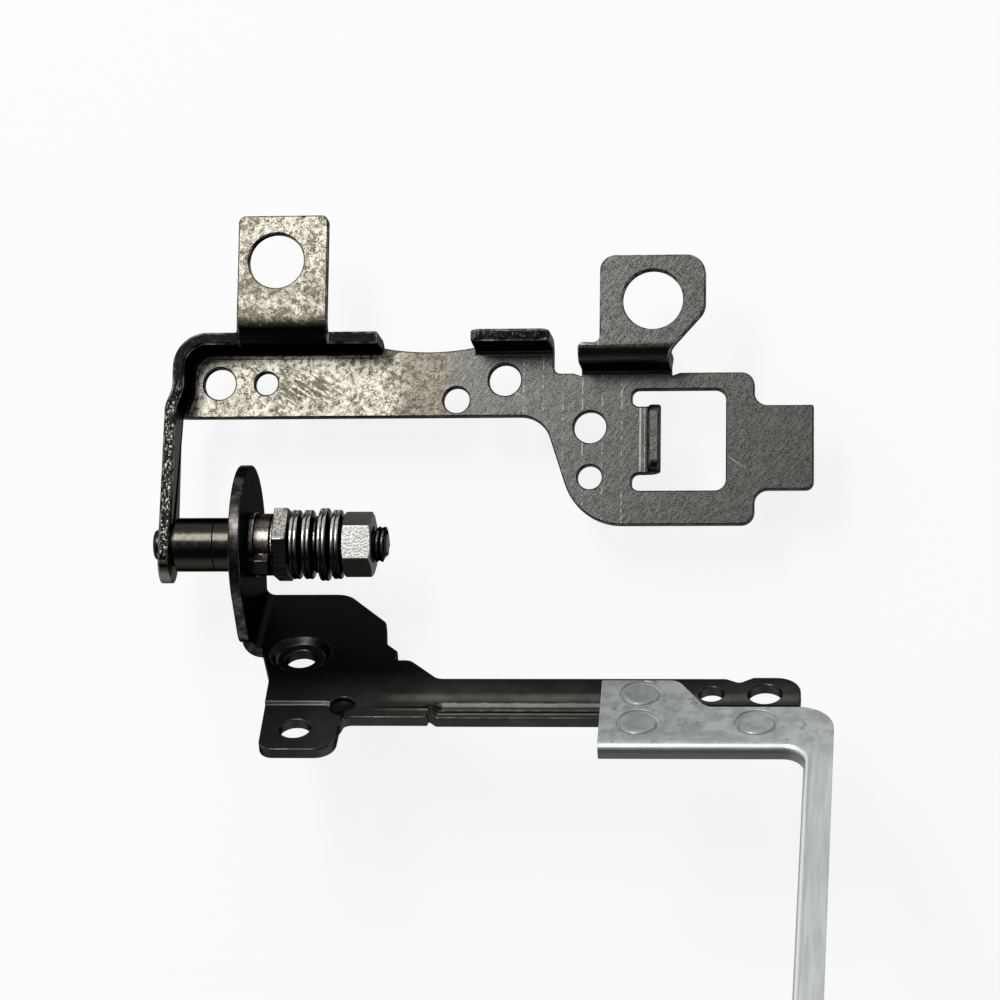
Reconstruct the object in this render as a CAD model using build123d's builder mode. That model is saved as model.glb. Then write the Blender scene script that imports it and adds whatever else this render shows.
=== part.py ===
from build123d import *
import os
from math import cos, radians, sin, sqrt

os.makedirs("parts", exist_ok=True)

# Frame: the origin is the base bracket's datum screw hole, on the underside of its plate.
# X runs along the hinge axis, +Y points from the axis across the base, +Z is up.

# Base bracket sheet and folds
BASE_SHEET = 1.2
BASE_BEND = 0.5
RELIEF = 0.2

# Base strip and its walls, measured from the datum hole
SIDE_WALL = 3.95
FRONT_WALL = 4.3
FRONT_WALL_END = 16.4
WALL_HEIGHT = 5.8
WALL_CORNER = 3.4
STRIP_REAR = 3.45
STRIP_LENGTH = 32.4
STRIP_EDGE_RISE = 0.4
STRIP_EDGE_DIP = 0.45

# Side arm that carries the shaft: joggled outwards, rounded past the shaft
ARM_JOGGLE = 0.7
JOGGLE_START = 1.2
JOGGLE_RUN = 1.8
JOGGLE_RADIUS = 2.2
ARM_EYE = 2.5
ARM_PAST = 1.3
ARM_ROOT = 1.0

# Upright flange on the strip's front edge
FLANGE_PAST_STRIP = 1.05
FLANGE_LENGTH = 7.8
FLANGE_HEIGHT = 6.6
FLANGE_CORNER = 0.9

# Panel at the strip's far end
PANEL_NECK_RUN = 3.6
PANEL_LENGTH = 20.9
PANEL_FRONT = 0.8
PANEL_REAR = 14.36
PANEL_NECK_RADIUS = 3.1
PANEL_HEEL_RADIUS = 5.9
PANEL_CORNER = 1.3
PANEL_NOTCH_CORNER = 0.7
END_TAB_REACH = 5.8
END_TAB_FRONT = 2.5
END_TAB_WIDTH = 8.4
END_TAB_CORNER = 0.8
END_TAB_SHARP_CORNER = 0.2

# Window in the panel, its slots and its bent-up tongue
WINDOW_INSET = 8.85
WINDOW_LENGTH = 9.25
WINDOW_FRONT = 0.87
WINDOW_WIDTH = 10.1
WINDOW_CORNER = 1.1
SLOT_LENGTH = 1.1
SLOT_WIDTH = 1.7
SLOT_CORNER = 0.7
TONGUE_INSET = 2.9
TONGUE_HEIGHT = 3.2
TONGUE_CORNER = 1.1

# Raised screw tabs
TAB_HEIGHT = 6.4
LEFT_TAB_START = 2.46
LEFT_TAB_WIDTH = 8.95
LEFT_TAB_REACH = 11.6
LEFT_TAB_BEND = 2.6
LEFT_TAB_CORNER = 0.7
LEFT_TAB_HOLE = 5.5
LEFT_TAB_HOLE_SIDE = 3.84
LEFT_TAB_HOLE_EDGE = 4.55
RIGHT_TAB_INSET = 3.85
RIGHT_TAB_WALL = 1.0
RIGHT_TAB_FOOT = 8.9
RIGHT_TAB_DIP_RUN = 0.8
RIGHT_TAB_SHIFT = 2.15
RIGHT_TAB_WIDTH = 10.35
RIGHT_TAB_REACH = 10.55
RIGHT_TAB_BEND = 1.9
RIGHT_TAB_WAIST = 0.95
RIGHT_TAB_CHEEK = 5.0
RIGHT_TAB_LEFT_CORNER = 1.5
RIGHT_TAB_RIGHT_CORNER = 1.9
RIGHT_TAB_CHEEK_RADIUS = 2.0
RIGHT_TAB_ROOT_RADIUS = 0.6
RIGHT_TAB_HOLE = 5.9
RIGHT_TAB_HOLE_SIDE = 5.2
RIGHT_TAB_HOLE_EDGE = 4.45

# Screw and locating holes in the base plate
SCREW_HOLE = 3.2
DATUM_PIN_HOLE = 2.3
DATUM_PIN_PITCH = 4.7
STRIP_PIN_HOLE = 2.6
STRIP_PIN_INSET = 8.6
STRIP_PIN_EDGE = 1.65
STRIP_SCREW_INSET = 3.8
STRIP_SCREW_RISE = 0.2
PANEL_SCREW_INSET = 4.7
PANEL_SCREW_DROP = 4.6
PANEL_PIN_HOLE = 2.4
PANEL_PIN_PITCH = 5.0

# Hinge axis and the angle between base and lid as drawn
AXIS_Y = -16.8
AXIS_Z = 4.9
LID_OPEN = 131.0

# Shaft and the parts threaded on it
SHAFT_DIAMETER = 3.5
SHAFT_FLATS = 2.8
SHAFT_TAIL = 1.35
SHAFT_CHAMFER = 0.3
COLLAR_DIAMETER = 5.3
COLLAR_LENGTH = 3.85
SHOULDER_DIAMETER = 4.2
SHOULDER_LENGTH = 0.35
STAKE_DIAMETER = 2.6
STAKE_HEAD = 3.0
STAKE_HEAD_HEIGHT = 0.7
STAKE_ROUND = 0.4
SPACER_LENGTH = 2.5
EAR_WASHER_DIAMETER = 6.4
EAR_WASHER_THICK = 0.5
FRICTION_WASHER_DIAMETER = 6.1
FRICTION_WASHER_THICK = 1.6
FRICTION_LUG_WIDTH = 1.6
FRICTION_LUG_REACH = 4.1
FRICTION_LUG_ANGLE = 132.0
KEY_WASHER_FLATS = 6.7
KEY_WASHER_THICK = 1.4
KEY_SHOULDER_DIAMETER = 5.6
KEY_SHOULDER_THICK = 0.3
SPRING_COUNT = 8
SPRING_DIAMETER = 6.8
SPRING_SHEET = 0.42
SPRING_CUP = 0.21
WIDE_SPRING_PAIR = 3
WIDE_SPRING_DIAMETER = 7.15
SPRING_WASHER_DIAMETER = 5.6
SPRING_WASHER_THICK = 0.3
NUT_FLATS = 5.6
NUT_THICK = 2.9
NUT_CHAMFER = 0.35
NUT_TURN = 4.0
RUNNING_CLEARANCE = 0.05

# Lid bracket: lengths along the lid run from the ear's outer face, distances away from the axis
LID_SHEET = 1.1
LID_BEND = 0.8
LID_DROP = 9.0
EAR_RADIUS = 7.8
EAR_FLANK = 13.0
EAR_BACK = 4.9
EAR_FRONT = 6.75
EAR_NOTCH = 1.2
EAR_FOOT_RADIUS = 2.4
FOLD_FRONT = 4.9
LID_LENGTH = 54.9
STRIP_TOP = 10.0
STRIP_WIDTH = 6.55
LID_CORNER = 1.2
SHOULDER_CORNER = 2.4
STRIP_CORNER = 0.6
SHOULDER_FLAT = 9.3
SHOULDER_SIDE = 13.7
SHOULDER_DROP = 5.1
NECK_SIDE = 14.2
NECK_DROP = 8.9
NECK_STEP = 1.2
NECK_STEP_DROP = 1.3
NECK_SHELF = 6.8
NECK_SHELF_LENGTH = 1.4
NECK_SLOPE = 3.0
NECK_CORNER = 0.4
SHELF_CORNER = 0.2
LUG_LENGTH = 4.6
LUG_RISE = 0.2
LUG_DIP = 0.7
LUG_DIP_RUN = 1.3
LUG_CORNER = 2.4
LID_TAB_SIDE = 3.3
LID_TAB_LEAN = 0.45
LID_TAB_WIDTH = 7.75
LID_TAB_REACH = 4.85
LID_TAB_STEP = 0.35
LID_TAB_STEP_SIDE = 0.37
LID_TAB_STEP_CORNER = 2.4
LID_TAB_LEFT_CORNER = 1.4
LID_TAB_RIGHT_CORNER = 2.0
LID_TAB_RAMP = 2.7
LID_TAB_SLOPE = 35.0
LID_TAB_HOLE_SIDE = 3.6
LID_TAB_HOLE_EDGE = 3.45
LEDGE_START = 19.5
LEDGE_WIDTH = 2.45
LEDGE_TRIM = 0.65
LEDGE_TRIM_CORNER = 0.2
LEDGE_STEP = 0.55
LEDGE_SLOPE = 50.0
LEDGE_CORNER = 1.3
DIMPLE_DIAMETER = 6.0
DIMPLE_DEPTH = 0.6
DIMPLE_SLOPE = 45.0
DIMPLE_HOLE = 3.0
DIMPLE_ALONG = 5.85
DIMPLE_AWAY = 5.75
LID_SCREW_HOLE = 3.0
LID_PIN_HOLE = 2.4
LID_PIN_ALONG = 11.05
LID_PIN_EDGE = 2.15
LID_END_HOLE = 3.2
LID_END_HOLE_INSET = 3.4
LID_END_PIN_PITCH = 5.1
LID_END_ROW = 2.6

# Screen rail, lapped over the end of the lid bracket
RAIL_SHEET = 0.8
RAIL_BEND = 0.15
RAIL_LAP = 19.0
RAIL_LEAN = 0.27
RAIL_TOP_GAP = 1.45
RAIL_HEAD_LENGTH = 7.3
RAIL_HEAD_DROP = 4.4
RAIL_HEAD_RUN = 2.8
RAIL_ARM_WIDTH = 6.4
RAIL_LENGTH = 22.3
RAIL_LEG_WIDTH = 2.72
RAIL_LEG_LENGTH = 42.0
RAIL_FLANGE = 1.6
RAIL_INNER_CORNER = 2.0
RAIL_OUTER_CORNER = 3.4
RAIL_HEAD_RADIUS = 1.4
RAIL_END_CORNER = 1.2
RAIL_HEAD_CORNER = 0.2
RAIL_SEAT_INSET = 1.5
RAIL_SEAT_WIDTH = 4.2
RIVET_HEAD = 3.8
RIVET_HEAD_DEPTH = 0.4
RIVET_SHANK = 2.4
RIVET_GROOVE = 0.15
RIVET_INSET = 3.85
RIVET_EDGE = 2.2
RIVET_ROW_PITCH = 4.8
RIVET_PITCH = 11.15

# Values that follow from the sizes above
BASE_FOLD = BASE_SHEET + BASE_BEND
LID_FOLD = LID_SHEET + LID_BEND
RAIL_FOLD = RAIL_SHEET + RAIL_BEND
ARM_FACE = -SIDE_WALL - ARM_JOGGLE
SHOULDER_START = ARM_FACE + BASE_SHEET
COLLAR_START = SHOULDER_START + SHOULDER_LENGTH
SPACER_START = COLLAR_START + COLLAR_LENGTH
EAR_START = SPACER_START + SPACER_LENGTH
EAR_FACE = EAR_START + LID_SHEET
FRICTION_START = EAR_FACE + EAR_WASHER_THICK
KEY_START = FRICTION_START + FRICTION_WASHER_THICK
KEY_HEX_START = KEY_START + KEY_SHOULDER_THICK
SPRINGS_START = KEY_HEX_START + KEY_WASHER_THICK
SPRING_PITCH = SPRING_SHEET + SPRING_CUP
SPRING_WASHER_START = SPRINGS_START + SPRING_COUNT / 2 * SPRING_PITCH
NUT_START = SPRING_WASHER_START + SPRING_WASHER_THICK + SPRING_COUNT / 2 * SPRING_PITCH
SHAFT_END = NUT_START + NUT_THICK + SHAFT_TAIL
RUNNING_BORE = SHAFT_DIAMETER + 2 * RUNNING_CLEARANCE
KEY_BORE_FLATS = SHAFT_FLATS + 2 * RUNNING_CLEARANCE
LID_TILT = radians(180 - LID_OPEN)

AXIS_POINT = (0, AXIS_Y, AXIS_Z)
LID_NORMAL = (0, sin(LID_TILT), cos(LID_TILT))
LID_REACH = (0, -cos(LID_TILT), sin(LID_TILT))
SHAFT_AXIS = Axis(AXIS_POINT, (1, 0, 0))
SHAFT_PLANE = Plane(AXIS_POINT, x_dir=(0, 1, 0), z_dir=(1, 0, 0))
SHAFT_SECTION = Plane(AXIS_POINT, x_dir=(1, 0, 0), z_dir=(0, -1, 0))

LID_ORIGIN = (EAR_START, AXIS_Y, AXIS_Z)
LID_PLANE = Plane(LID_ORIGIN, x_dir=(1, 0, 0), z_dir=LID_NORMAL)
EAR_PLANE = Plane(LID_ORIGIN, x_dir=(0, cos(LID_TILT), -sin(LID_TILT)), z_dir=(1, 0, 0))
EAR_FOLD_PLANE = Plane(LID_ORIGIN, x_dir=(1, 0, 0), z_dir=LID_REACH)
LID_TOP_FACE = LID_PLANE.offset(-LID_DROP)
LID_UNDERSIDE = LID_PLANE.offset(-LID_DROP - LID_SHEET)
LID_HEIGHTS = Axis(LID_TOP_FACE.origin, LID_NORMAL)
LID_DISTANCES = Axis(LID_ORIGIN, LID_REACH)
TOLERANCE = 0.01


def lid_point(place):
    """Turn a distance along the lid and a distance from the axis into lid plane coordinates."""
    along, away = place
    return (along, -away)


# Base bracket, left raised tab: folded outwards from the front wall
LEFT_TAB_TIP = FRONT_WALL + LEFT_TAB_REACH
with BuildPart() as left_tab:
    with BuildSketch(Plane.YZ.offset(LEFT_TAB_START)):
        with BuildLine():
            FilletPolyline(
                (FRONT_WALL - BASE_SHEET, BASE_FOLD),
                (FRONT_WALL, BASE_FOLD),
                (FRONT_WALL, TAB_HEIGHT - BASE_SHEET),
                (LEFT_TAB_TIP, TAB_HEIGHT - BASE_SHEET),
                (LEFT_TAB_TIP, TAB_HEIGHT),
                (FRONT_WALL - BASE_SHEET, TAB_HEIGHT),
                radius=[0, 0, LEFT_TAB_BEND - BASE_SHEET, 0, 0, LEFT_TAB_BEND],
                close=True,
            )
        make_face()
    extrude(amount=LEFT_TAB_WIDTH)
    fillet(left_tab.edges().filter_by(Axis.Z).group_by(Axis.Y)[-1], radius=LEFT_TAB_CORNER)

# Base bracket, right raised tab: the folded section cut to the tab's outline
RIGHT_TAB_START = STRIP_LENGTH + RIGHT_TAB_INSET
RIGHT_TAB_END = RIGHT_TAB_START + RIGHT_TAB_FOOT
RIGHT_TAB_SIDE = RIGHT_TAB_START + RIGHT_TAB_SHIFT
RIGHT_TAB_FAR_SIDE = RIGHT_TAB_SIDE + RIGHT_TAB_WIDTH
RIGHT_TAB_TIP = RIGHT_TAB_WALL + RIGHT_TAB_REACH
RIGHT_TAB_FOLD = RIGHT_TAB_WALL - BASE_BEND
RIGHT_TAB_ROOT = RIGHT_TAB_FOLD - BASE_SHEET
with BuildPart() as right_tab:
    with BuildSketch(Plane.YZ):
        with BuildLine():
            FilletPolyline(
                (RIGHT_TAB_ROOT, 0),
                (RIGHT_TAB_WALL + BASE_SHEET, 0),
                (RIGHT_TAB_WALL + BASE_SHEET, TAB_HEIGHT - BASE_SHEET),
                (RIGHT_TAB_TIP, TAB_HEIGHT - BASE_SHEET),
                (RIGHT_TAB_TIP, TAB_HEIGHT),
                (RIGHT_TAB_WALL, TAB_HEIGHT),
                (RIGHT_TAB_WALL, BASE_SHEET),
                (RIGHT_TAB_ROOT, BASE_SHEET),
                radius=[0, BASE_FOLD, RIGHT_TAB_BEND - BASE_SHEET, 0, 0, RIGHT_TAB_BEND, BASE_BEND, 0],
                close=True,
            )
        make_face()
    extrude(amount=RIGHT_TAB_FAR_SIDE)
    with BuildSketch():
        with BuildLine():
            FilletPolyline(
                (RIGHT_TAB_START, RIGHT_TAB_ROOT),
                (RIGHT_TAB_END, RIGHT_TAB_ROOT),
                (RIGHT_TAB_END, RIGHT_TAB_WALL + RIGHT_TAB_WAIST),
                (RIGHT_TAB_FAR_SIDE, RIGHT_TAB_WALL + RIGHT_TAB_CHEEK),
                (RIGHT_TAB_FAR_SIDE, RIGHT_TAB_TIP),
                (RIGHT_TAB_SIDE, RIGHT_TAB_TIP),
                (RIGHT_TAB_SIDE, RIGHT_TAB_WALL + RIGHT_TAB_BEND),
                (RIGHT_TAB_START, RIGHT_TAB_WALL + RIGHT_TAB_BEND),
                radius=[
                    0, 0, RIGHT_TAB_CHEEK_RADIUS, RIGHT_TAB_CHEEK_RADIUS, RIGHT_TAB_RIGHT_CORNER,
                    RIGHT_TAB_LEFT_CORNER, RIGHT_TAB_ROOT_RADIUS, RIGHT_TAB_ROOT_RADIUS,
                ],
                close=True,
            )
        make_face()
    extrude(amount=TAB_HEIGHT, mode=Mode.INTERSECT)

# Base bracket, upright flange on the strip's front edge
STRIP_EDGE = FRONT_WALL - BASE_SHEET
PLATE_FRONT = STRIP_EDGE - BASE_BEND
FLANGE_END = STRIP_LENGTH + FLANGE_PAST_STRIP
FLANGE_START = FLANGE_END - FLANGE_LENGTH
with BuildPart() as flange:
    with BuildSketch(Plane.YZ.offset(FLANGE_START)):
        with BuildLine():
            FilletPolyline(
                (PLATE_FRONT - RELIEF, 0),
                (FRONT_WALL, 0),
                (FRONT_WALL, FLANGE_HEIGHT),
                (STRIP_EDGE, FLANGE_HEIGHT),
                (STRIP_EDGE, BASE_SHEET),
                (PLATE_FRONT - RELIEF, BASE_SHEET),
                radius=[0, BASE_FOLD, 0, 0, BASE_BEND, 0],
                close=True,
            )
        make_face()
    extrude(amount=FLANGE_LENGTH)
    fillet(flange.edges().filter_by(Axis.Y).group_by(Axis.Z)[-1], radius=FLANGE_CORNER)

# Base bracket, tongue turned up in the window
WINDOW_START = STRIP_LENGTH + WINDOW_INSET
WINDOW_END = WINDOW_START + WINDOW_LENGTH
WINDOW_REAR = WINDOW_FRONT + WINDOW_WIDTH
SLOT_END = WINDOW_START + SLOT_LENGTH
TONGUE_FRONT = WINDOW_FRONT + SLOT_WIDTH
TONGUE_REAR = WINDOW_REAR - SLOT_WIDTH
TONGUE_FACE = WINDOW_START + TONGUE_INSET
with BuildPart() as tongue:
    with BuildSketch(Plane.XZ.offset(TONGUE_FRONT)):
        with BuildLine():
            FilletPolyline(
                (SLOT_END - RELIEF, 0),
                (TONGUE_FACE, 0),
                (TONGUE_FACE, TONGUE_HEIGHT),
                (TONGUE_FACE - BASE_SHEET, TONGUE_HEIGHT),
                (TONGUE_FACE - BASE_SHEET, BASE_SHEET),
                (SLOT_END - RELIEF, BASE_SHEET),
                radius=[0, BASE_FOLD, 0, 0, BASE_BEND, 0],
                close=True,
            )
        make_face()
    extrude(amount=TONGUE_REAR - TONGUE_FRONT)
    fillet(tongue.edges().filter_by(Axis.X).group_by(Axis.Z)[-1], radius=TONGUE_CORNER)

# Base bracket: drawn strip, flat panel, side arm, raised tabs, flange and tongue in one sheet
PANEL_END = STRIP_LENGTH + PANEL_LENGTH
END_TAB_REAR = END_TAB_FRONT + END_TAB_WIDTH
EDGE_FRONT = STRIP_EDGE + STRIP_EDGE_RISE
PLATE_LAP = FRONT_WALL_END - BASE_SHEET
ARM_LOW = AXIS_Z - ARM_EYE
ARM_TIP = AXIS_Y - ARM_PAST
with BuildPart() as base_bracket:
    # Strip drawn up along its front edge, round the corner and down the joggled side
    for depth, floor, corner, mode in (
        (0, 0, WALL_CORNER, Mode.ADD),
        (BASE_SHEET, BASE_SHEET, WALL_CORNER - BASE_SHEET, Mode.SUBTRACT),
    ):
        with BuildSketch(Plane.XY.offset(floor)):
            with BuildLine():
                FilletPolyline(
                    (FRONT_WALL_END, FRONT_WALL - depth),
                    (depth - SIDE_WALL, FRONT_WALL - depth),
                    (depth - SIDE_WALL, -JOGGLE_START),
                    (depth + ARM_FACE, -JOGGLE_START - JOGGLE_RUN),
                    (depth + ARM_FACE, -STRIP_REAR),
                    (FRONT_WALL_END, -STRIP_REAR),
                    radius=[0, corner, JOGGLE_RADIUS, JOGGLE_RADIUS, 0, 0],
                    close=True,
                )
            make_face()
        extrude(amount=WALL_HEIGHT - floor, mode=mode)
    for floor, radius in ((0, BASE_FOLD), (BASE_SHEET, BASE_BEND)):
        fold = base_bracket.edges().filter_by_position(Axis.Z, floor, floor)
        fold = fold.filter_by_position(Axis.X, -2 * SIDE_WALL, FRONT_WALL_END, inclusive=(True, False))
        fold = fold.filter_by_position(Axis.Y, -STRIP_REAR, FRONT_WALL, inclusive=(False, True))
        fillet(fold, radius=radius)

    # Flat of the strip and the panel, with the window
    with BuildSketch():
        with BuildLine():
            outline = FilletPolyline(
                (FRONT_WALL_END, EDGE_FRONT),
                (FRONT_WALL_END, PLATE_FRONT),
                (PLATE_LAP, PLATE_FRONT),
                (PLATE_LAP, -STRIP_REAR),
                (STRIP_LENGTH, -STRIP_REAR),
                (STRIP_LENGTH + PANEL_NECK_RUN, -PANEL_REAR),
                (PANEL_END, -PANEL_REAR),
                (PANEL_END, -END_TAB_REAR),
                (PANEL_END + END_TAB_REACH, -END_TAB_REAR),
                (PANEL_END + END_TAB_REACH, -END_TAB_FRONT),
                (PANEL_END, -END_TAB_FRONT),
                (PANEL_END, PANEL_FRONT),
                (RIGHT_TAB_END + RIGHT_TAB_DIP_RUN, PANEL_FRONT),
                (RIGHT_TAB_END, RIGHT_TAB_FOLD),
                (RIGHT_TAB_START, RIGHT_TAB_FOLD),
                (RIGHT_TAB_START - RIGHT_TAB_DIP_RUN, PANEL_FRONT),
                (FLANGE_END, PANEL_FRONT),
                (FLANGE_END, PLATE_FRONT),
                (FLANGE_START, PLATE_FRONT),
                (FLANGE_START, EDGE_FRONT),
                radius=[
                    0, 0, 0, PANEL_NECK_RADIUS, PANEL_HEEL_RADIUS, PANEL_CORNER, PANEL_CORNER,
                    END_TAB_CORNER, END_TAB_SHARP_CORNER, PANEL_CORNER, PANEL_CORNER,
                    0, 0, 0, 0, PANEL_NOTCH_CORNER, 0, 0,
                ],
            )
            ThreePointArc(
                outline @ 1,
                ((FRONT_WALL_END + FLANGE_START) / 2, EDGE_FRONT - STRIP_EDGE_DIP),
                outline @ 0,
            )
        make_face()
        with BuildLine():
            FilletPolyline(
                (WINDOW_START, -WINDOW_FRONT),
                (WINDOW_END, -WINDOW_FRONT),
                (WINDOW_END, -WINDOW_REAR),
                (WINDOW_START, -WINDOW_REAR),
                (WINDOW_START, -TONGUE_REAR),
                (SLOT_END, -TONGUE_REAR),
                (SLOT_END, -TONGUE_FRONT),
                (WINDOW_START, -TONGUE_FRONT),
                radius=[
                    SLOT_CORNER, WINDOW_CORNER, WINDOW_CORNER, SLOT_CORNER,
                    SLOT_CORNER, 0, 0, SLOT_CORNER,
                ],
                close=True,
            )
        make_face(mode=Mode.SUBTRACT)
    extrude(amount=BASE_SHEET)

    # Side arm, from the joggled wall to the rounded end past the shaft
    with BuildSketch(Plane.YZ.offset(ARM_FACE)):
        with BuildLine():
            Polyline(
                (-STRIP_REAR, WALL_HEIGHT),
                (-STRIP_REAR, BASE_FOLD),
                (-STRIP_REAR - ARM_ROOT, ARM_LOW),
                (ARM_TIP, ARM_LOW),
                (ARM_TIP, AXIS_Z + ARM_EYE),
                close=True,
            )
        make_face()
        with Locations((ARM_TIP, AXIS_Z)):
            Circle(ARM_EYE)
        with Locations((AXIS_Y, AXIS_Z)):
            Circle(STAKE_DIAMETER / 2 + RUNNING_CLEARANCE, mode=Mode.SUBTRACT)
    extrude(amount=BASE_SHEET)

    # The left tab takes the place of a length of the front wall
    with BuildSketch(Plane.XY.offset(TAB_HEIGHT - LEFT_TAB_BEND)):
        with Locations((LEFT_TAB_START, FRONT_WALL - 2 * BASE_SHEET)):
            Rectangle(LEFT_TAB_WIDTH, 3 * BASE_SHEET, align=Align.MIN)
    extrude(amount=WALL_HEIGHT, mode=Mode.SUBTRACT)
    for fold in (left_tab, right_tab, flange, tongue):
        add(fold.part)

    # Screw and locating holes
    with BuildSketch():
        with Locations(
            (0, 0),
            (STRIP_LENGTH - STRIP_SCREW_INSET, STRIP_SCREW_RISE),
            (STRIP_LENGTH + PANEL_SCREW_INSET, -PANEL_SCREW_DROP),
        ):
            Circle(SCREW_HOLE / 2)
        with Locations((DATUM_PIN_PITCH, 0)):
            Circle(DATUM_PIN_HOLE / 2)
        with Locations((STRIP_LENGTH - STRIP_PIN_INSET, STRIP_PIN_EDGE - STRIP_REAR)):
            Circle(STRIP_PIN_HOLE / 2)
        with Locations((STRIP_LENGTH + PANEL_SCREW_INSET, -PANEL_SCREW_DROP - PANEL_PIN_PITCH)):
            Circle(PANEL_PIN_HOLE / 2)
        with Locations((LEFT_TAB_START + LEFT_TAB_HOLE_SIDE, LEFT_TAB_TIP - LEFT_TAB_HOLE_EDGE)):
            Circle(LEFT_TAB_HOLE / 2)
        with Locations((RIGHT_TAB_SIDE + RIGHT_TAB_HOLE_SIDE, RIGHT_TAB_TIP - RIGHT_TAB_HOLE_EDGE)):
            Circle(RIGHT_TAB_HOLE / 2)
    extrude(amount=TAB_HEIGHT, mode=Mode.SUBTRACT)
base_bracket.part.label = "base_bracket"
export_step(base_bracket.part, "parts/base_bracket.step")

# Hinge shaft: staked stub, shoulder, collar, flatted body and tail
with BuildPart() as hinge_shaft:
    for start, length, diameter in (
        (ARM_FACE - STAKE_HEAD_HEIGHT, STAKE_HEAD_HEIGHT, STAKE_HEAD),
        (ARM_FACE, BASE_SHEET, STAKE_DIAMETER),
        (SHOULDER_START, SHOULDER_LENGTH, SHOULDER_DIAMETER),
        (COLLAR_START, COLLAR_LENGTH, COLLAR_DIAMETER),
    ):
        with BuildSketch(SHAFT_PLANE.offset(start)):
            Circle(diameter / 2)
        extrude(amount=length)
    with BuildSketch(SHAFT_PLANE.offset(SPACER_START)):
        Circle(SHAFT_DIAMETER / 2)
        Rectangle(SHAFT_FLATS, SHAFT_DIAMETER, mode=Mode.INTERSECT)
    extrude(amount=SHAFT_END - SPACER_START)
    fillet(hinge_shaft.faces().sort_by(Axis.X)[0].edges(), radius=STAKE_ROUND)
    chamfer(hinge_shaft.faces().sort_by(Axis.X)[-1].edges(), length=SHAFT_CHAMFER)
hinge_shaft.part.label = "hinge_shaft"
export_step(hinge_shaft.part, "parts/hinge_shaft.step")

# Spacer ring between the collar and the ear
with BuildPart() as spacer_ring:
    with BuildSketch(SHAFT_PLANE.offset(SPACER_START)):
        Circle(COLLAR_DIAMETER / 2)
        Circle(RUNNING_BORE / 2, mode=Mode.SUBTRACT)
    extrude(amount=SPACER_LENGTH)
spacer_ring.part.label = "spacer_ring"
export_step(spacer_ring.part, "parts/spacer_ring.step")

# Flatted bore shared by the washers that are keyed to the shaft
with BuildSketch(SHAFT_PLANE) as key_bore:
    Circle(RUNNING_BORE / 2)
    Rectangle(KEY_BORE_FLATS, RUNNING_BORE, mode=Mode.INTERSECT)

# Ear washer, keyed to the shaft
with BuildPart() as ear_washer:
    with BuildSketch(SHAFT_PLANE.offset(EAR_FACE)):
        Circle(EAR_WASHER_DIAMETER / 2)
    extrude(amount=EAR_WASHER_THICK)
    extrude(key_bore.sketch, amount=SHAFT_END, mode=Mode.SUBTRACT)
ear_washer.part.label = "ear_washer"
export_step(ear_washer.part, "parts/ear_washer.step")

# Friction washer, turned with the ear by a lug that reaches past the ear washer
with BuildPart() as friction_washer:
    with BuildSketch(SHAFT_PLANE.offset(FRICTION_START)):
        Circle(FRICTION_WASHER_DIAMETER / 2)
        with PolarLocations(FRICTION_LUG_REACH / 2, 1, start_angle=FRICTION_LUG_ANGLE):
            Rectangle(FRICTION_LUG_REACH, FRICTION_LUG_WIDTH)
        Circle(RUNNING_BORE / 2, mode=Mode.SUBTRACT)
    extrude(amount=FRICTION_WASHER_THICK)
    with BuildSketch(SHAFT_PLANE.offset(EAR_FACE)):
        with PolarLocations(FRICTION_LUG_REACH / 2, 1, start_angle=FRICTION_LUG_ANGLE):
            Rectangle(FRICTION_LUG_REACH, FRICTION_LUG_WIDTH)
        Circle(EAR_WASHER_DIAMETER / 2 + 2 * RUNNING_CLEARANCE, mode=Mode.SUBTRACT)
    extrude(amount=EAR_WASHER_THICK)
friction_washer.part.label = "friction_washer"
export_step(friction_washer.part, "parts/friction_washer.step")

# Six-sided pressure washer with a round shoulder, keyed to the shaft
with BuildPart() as key_washer:
    with BuildSketch(SHAFT_PLANE.offset(KEY_START)):
        Circle(KEY_SHOULDER_DIAMETER / 2)
    extrude(amount=KEY_SHOULDER_THICK)
    with BuildSketch(SHAFT_PLANE.offset(KEY_HEX_START)):
        RegularPolygon(KEY_WASHER_FLATS / 2, side_count=6, major_radius=False, rotation=90)
    extrude(amount=KEY_WASHER_THICK)
    extrude(key_bore.sketch, amount=SHAFT_END, mode=Mode.SUBTRACT)
key_washer.part.label = "key_washer"
export_step(key_washer.part, "parts/key_washer.step")

# Disc springs: cupped rings, every second one turned round so that the rims meet in pairs
SPRING_BORE = RUNNING_BORE / 2
for index in range(SPRING_COUNT):
    past_middle = SPRING_WASHER_THICK if index >= SPRING_COUNT / 2 else 0
    start = SPRINGS_START + index * SPRING_PITCH + past_middle
    bore_lead = SPRING_CUP * (index % 2)
    rim_lead = SPRING_CUP - bore_lead
    rim = WIDE_SPRING_DIAMETER / 2 if index // 2 + 1 == WIDE_SPRING_PAIR else SPRING_DIAMETER / 2
    with BuildPart() as disc_spring:
        with BuildSketch(SHAFT_SECTION):
            with BuildLine():
                Polyline(
                    (start + bore_lead, SPRING_BORE),
                    (start + bore_lead + SPRING_SHEET, SPRING_BORE),
                    (start + rim_lead + SPRING_SHEET, rim),
                    (start + rim_lead, rim),
                    close=True,
                )
            make_face()
        revolve(axis=SHAFT_AXIS)
    disc_spring.part.label = f"disc_spring_{index + 1}"
    export_step(disc_spring.part, f"parts/disc_spring_{index + 1}.step")

# Flat washer half way along the spring pack
with BuildPart() as spring_washer:
    with BuildSketch(SHAFT_PLANE.offset(SPRING_WASHER_START)):
        Circle(SPRING_WASHER_DIAMETER / 2)
        Circle(RUNNING_BORE / 2, mode=Mode.SUBTRACT)
    extrude(amount=SPRING_WASHER_THICK)
spring_washer.part.label = "spring_washer"
export_step(spring_washer.part, "parts/spring_washer.step")

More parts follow.
